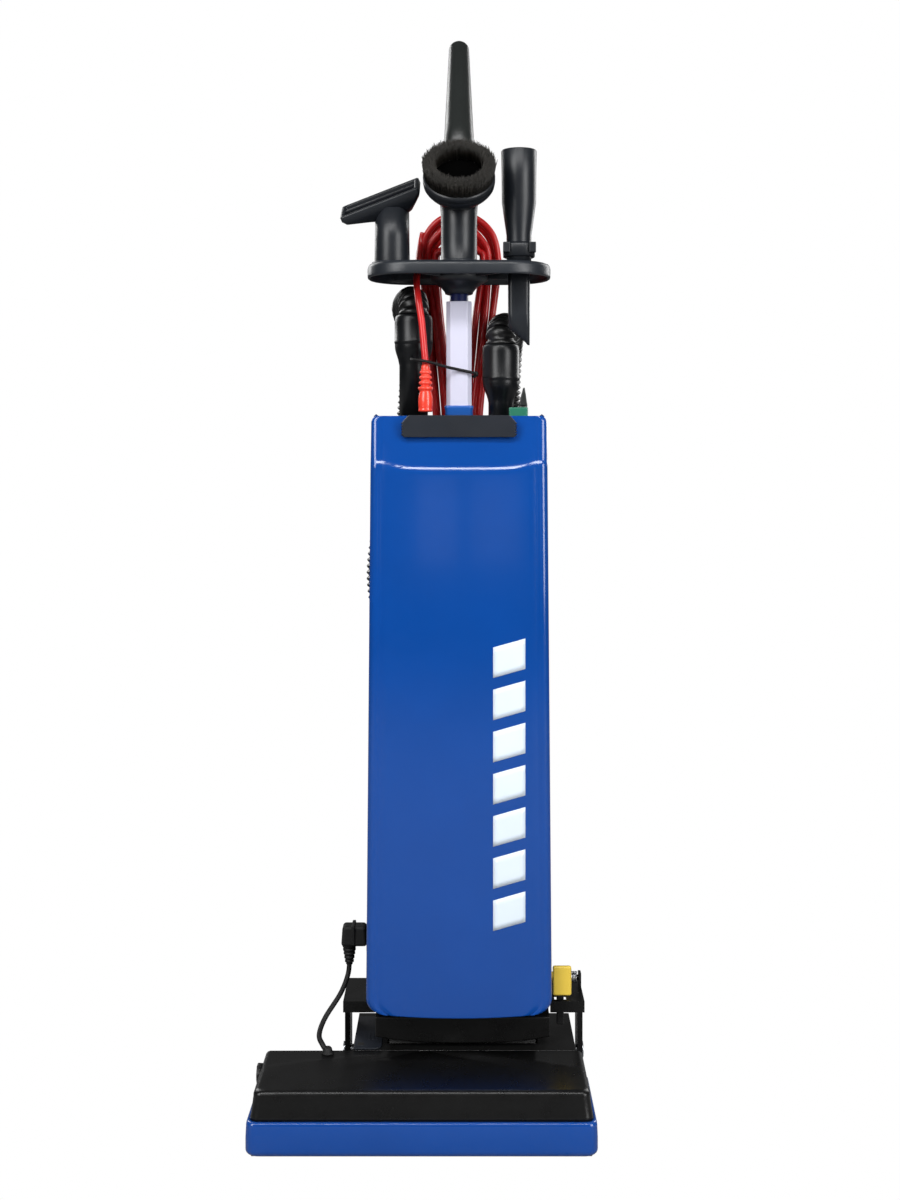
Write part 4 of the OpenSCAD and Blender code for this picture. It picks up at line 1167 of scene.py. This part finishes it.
def dress_nodes():
    """Gives every CAD node that stays its material, and softens its edges."""
    slots = {part["node"]: part["material_slot"] for part in frame["record"]["subparts"]}
    for name, obj in nodes.items():
        finish = FINISH[slots[name]]
        if name in ("motor_pulley", "vacuum_fan"):
            finish = STEEL
        # The upper spigot takes the darker blue: painted shade from the caddy above it.
        if name == "upper_spigot":
            finish = SHADED_BLUE
        if not obj.data.materials:
            obj.data.materials.append(finish)
        for index in range(len(obj.material_slots)):
            obj.material_slots[index].material = finish
        if obj.hide_render:
            continue
        weld = obj.modifiers.new("weld", "WELD")
        weld.merge_threshold = 0.01 * MM
        soften(obj, 0.9, 2, 40)


def build():
    """Every piece, in an order that keeps the random draws the same."""
    front_cover()
    cover_stripes()
    latch()
    body_shell()
    neck()
    bumper()
    head_cover()
    service_plate()
    brush_roll()
    rear_wheel("rear_wheel_left", "wheel_left")
    rear_wheel("rear_wheel_right", "wheel_right")
    collar()
    caddy()
    grip()
    crevice_tool()
    upholstery_tool()
    dusting_brush()
    hose()
    cuff("wand_cuff", "cuff_wand")
    cuff("inlet_cuff", "cuff_inlet")
    socket_ring("riser_tube", "socket_riser")
    socket_ring("inlet_elbow", "socket_inlet")
    power_cord()
    plug()
    cord_tie()
    pigtail()
    pedal()
    pedal_spring()
    power_switch()
    height_knob()
    cord_hook()
    filter_bag()
    dress_nodes()


# ---------------------------------------------------------------- stage, light and camera

def white_to_camera(tree, target, socket, unseen):
    """Feeds socket with pure white for what the camera sees and with unseen for every other ray."""
    path = tree.nodes.new("ShaderNodeLightPath")
    choose = tree.nodes.new("ShaderNodeMixShader")
    kind = "ShaderNodeBackground" if target.type == "OUTPUT_WORLD" else "ShaderNodeEmission"
    white = tree.nodes.new(kind)
    white.inputs["Color"].default_value = (1.0, 1.0, 1.0, 1.0)
    white.inputs["Strength"].default_value = 1.0
    tree.links.new(path.outputs["Is Camera Ray"], choose.inputs[0])
    tree.links.new(unseen, choose.inputs[1])
    tree.links.new(white.outputs[0], choose.inputs[2])
    tree.links.new(choose.outputs[0], target.inputs[socket])


def area_light(name, place, aim, size, power):
    """A rectangular soft light; place and aim in metres, size as (width, height)."""
    light = bpy.data.lights.new(name, "AREA")
    light.shape = "RECTANGLE"
    light.size, light.size_y = size
    light.energy = power
    lamp = bpy.data.objects.new(name, light)
    lamp.location = place
    lamp.rotation_euler = (Vector(aim) - Vector(place)).to_track_quat("-Z", "Y").to_euler()
    bpy.context.scene.collection.objects.link(lamp)


def studio():
    """White surroundings, soft light from the front, sides and back, and a level camera in front."""
    scene = bpy.context.scene
    floor_mat = surface("studio_floor", (150, 150, 150), (0.8, 0.9), 300, 0.02, 0.01, 0.0, specular=0.1)
    tree = floor_mat.node_tree
    shader = tree.nodes["Principled BSDF"]
    white_to_camera(tree, tree.nodes["Material Output"], "Surface", shader.outputs[0])
    mesh = bpy.data.meshes.new("studio_floor")
    mesh.from_pydata([(-6, -6, 0), (6, -6, 0), (6, 8, 0), (-6, 8, 0)], [], [(0, 1, 2, 3)])
    mesh.materials.append(floor_mat)
    floor = bpy.data.objects.new("studio_floor", mesh)
    scene.collection.objects.link(floor)

    world = bpy.data.worlds.new("studio_world")
    world.use_nodes = True
    tree = world.node_tree
    dim = tree.nodes["Background"]
    dim.inputs["Color"].default_value = (1.0, 1.0, 1.0, 1.0)
    dim.inputs["Strength"].default_value = 0.10
    white_to_camera(tree, tree.nodes["World Output"], "Surface", dim.outputs[0])
    scene.world = world

    middle = (0.04, 0.0, 0.62)
    area_light("key", (-1.7, -2.1, 1.9), middle, (1.2, 2.0), 62)
    area_light("fill", (1.9, -2.0, 1.3), middle, (1.2, 2.0), 54)
    area_light("back_left", (-1.7, 2.1, 2.0), middle, (1.0, 1.6), 30)
    area_light("back_right", (1.8, 1.9, 1.6), middle, (1.0, 1.6), 26)
    area_light("brow", (0.04, -1.62, 2.35), (0.04, -0.05, 0.73), (1.8, 0.3), 26)
    area_light("window_left", (-0.05, -1.70, 0.60), (0.0, -0.05, 0.66), (0.16, 0.2), 0.04)
    area_light("window_right", (0.19, -1.70, 0.60), (0.08, -0.05, 0.66), (0.2, 0.2), 0.04)
    scene.view_settings.view_transform = "Standard"

    camera = bpy.data.cameras.new("camera")
    camera.sensor_width = 36
    camera.sensor_height = 36
    camera.lens = 43.35
    camera.shift_x = -0.0075
    camera.shift_y = -0.1167
    camera.clip_end = 50
    holder = bpy.data.objects.new("camera", camera)
    holder.location = Vector((BODY_X, span("bumper")[0].y - 1500, 734)) * MM
    holder.rotation_euler = (math.radians(90), 0, 0)
    scene.collection.objects.link(holder)
    scene.camera = holder


build()
studio()
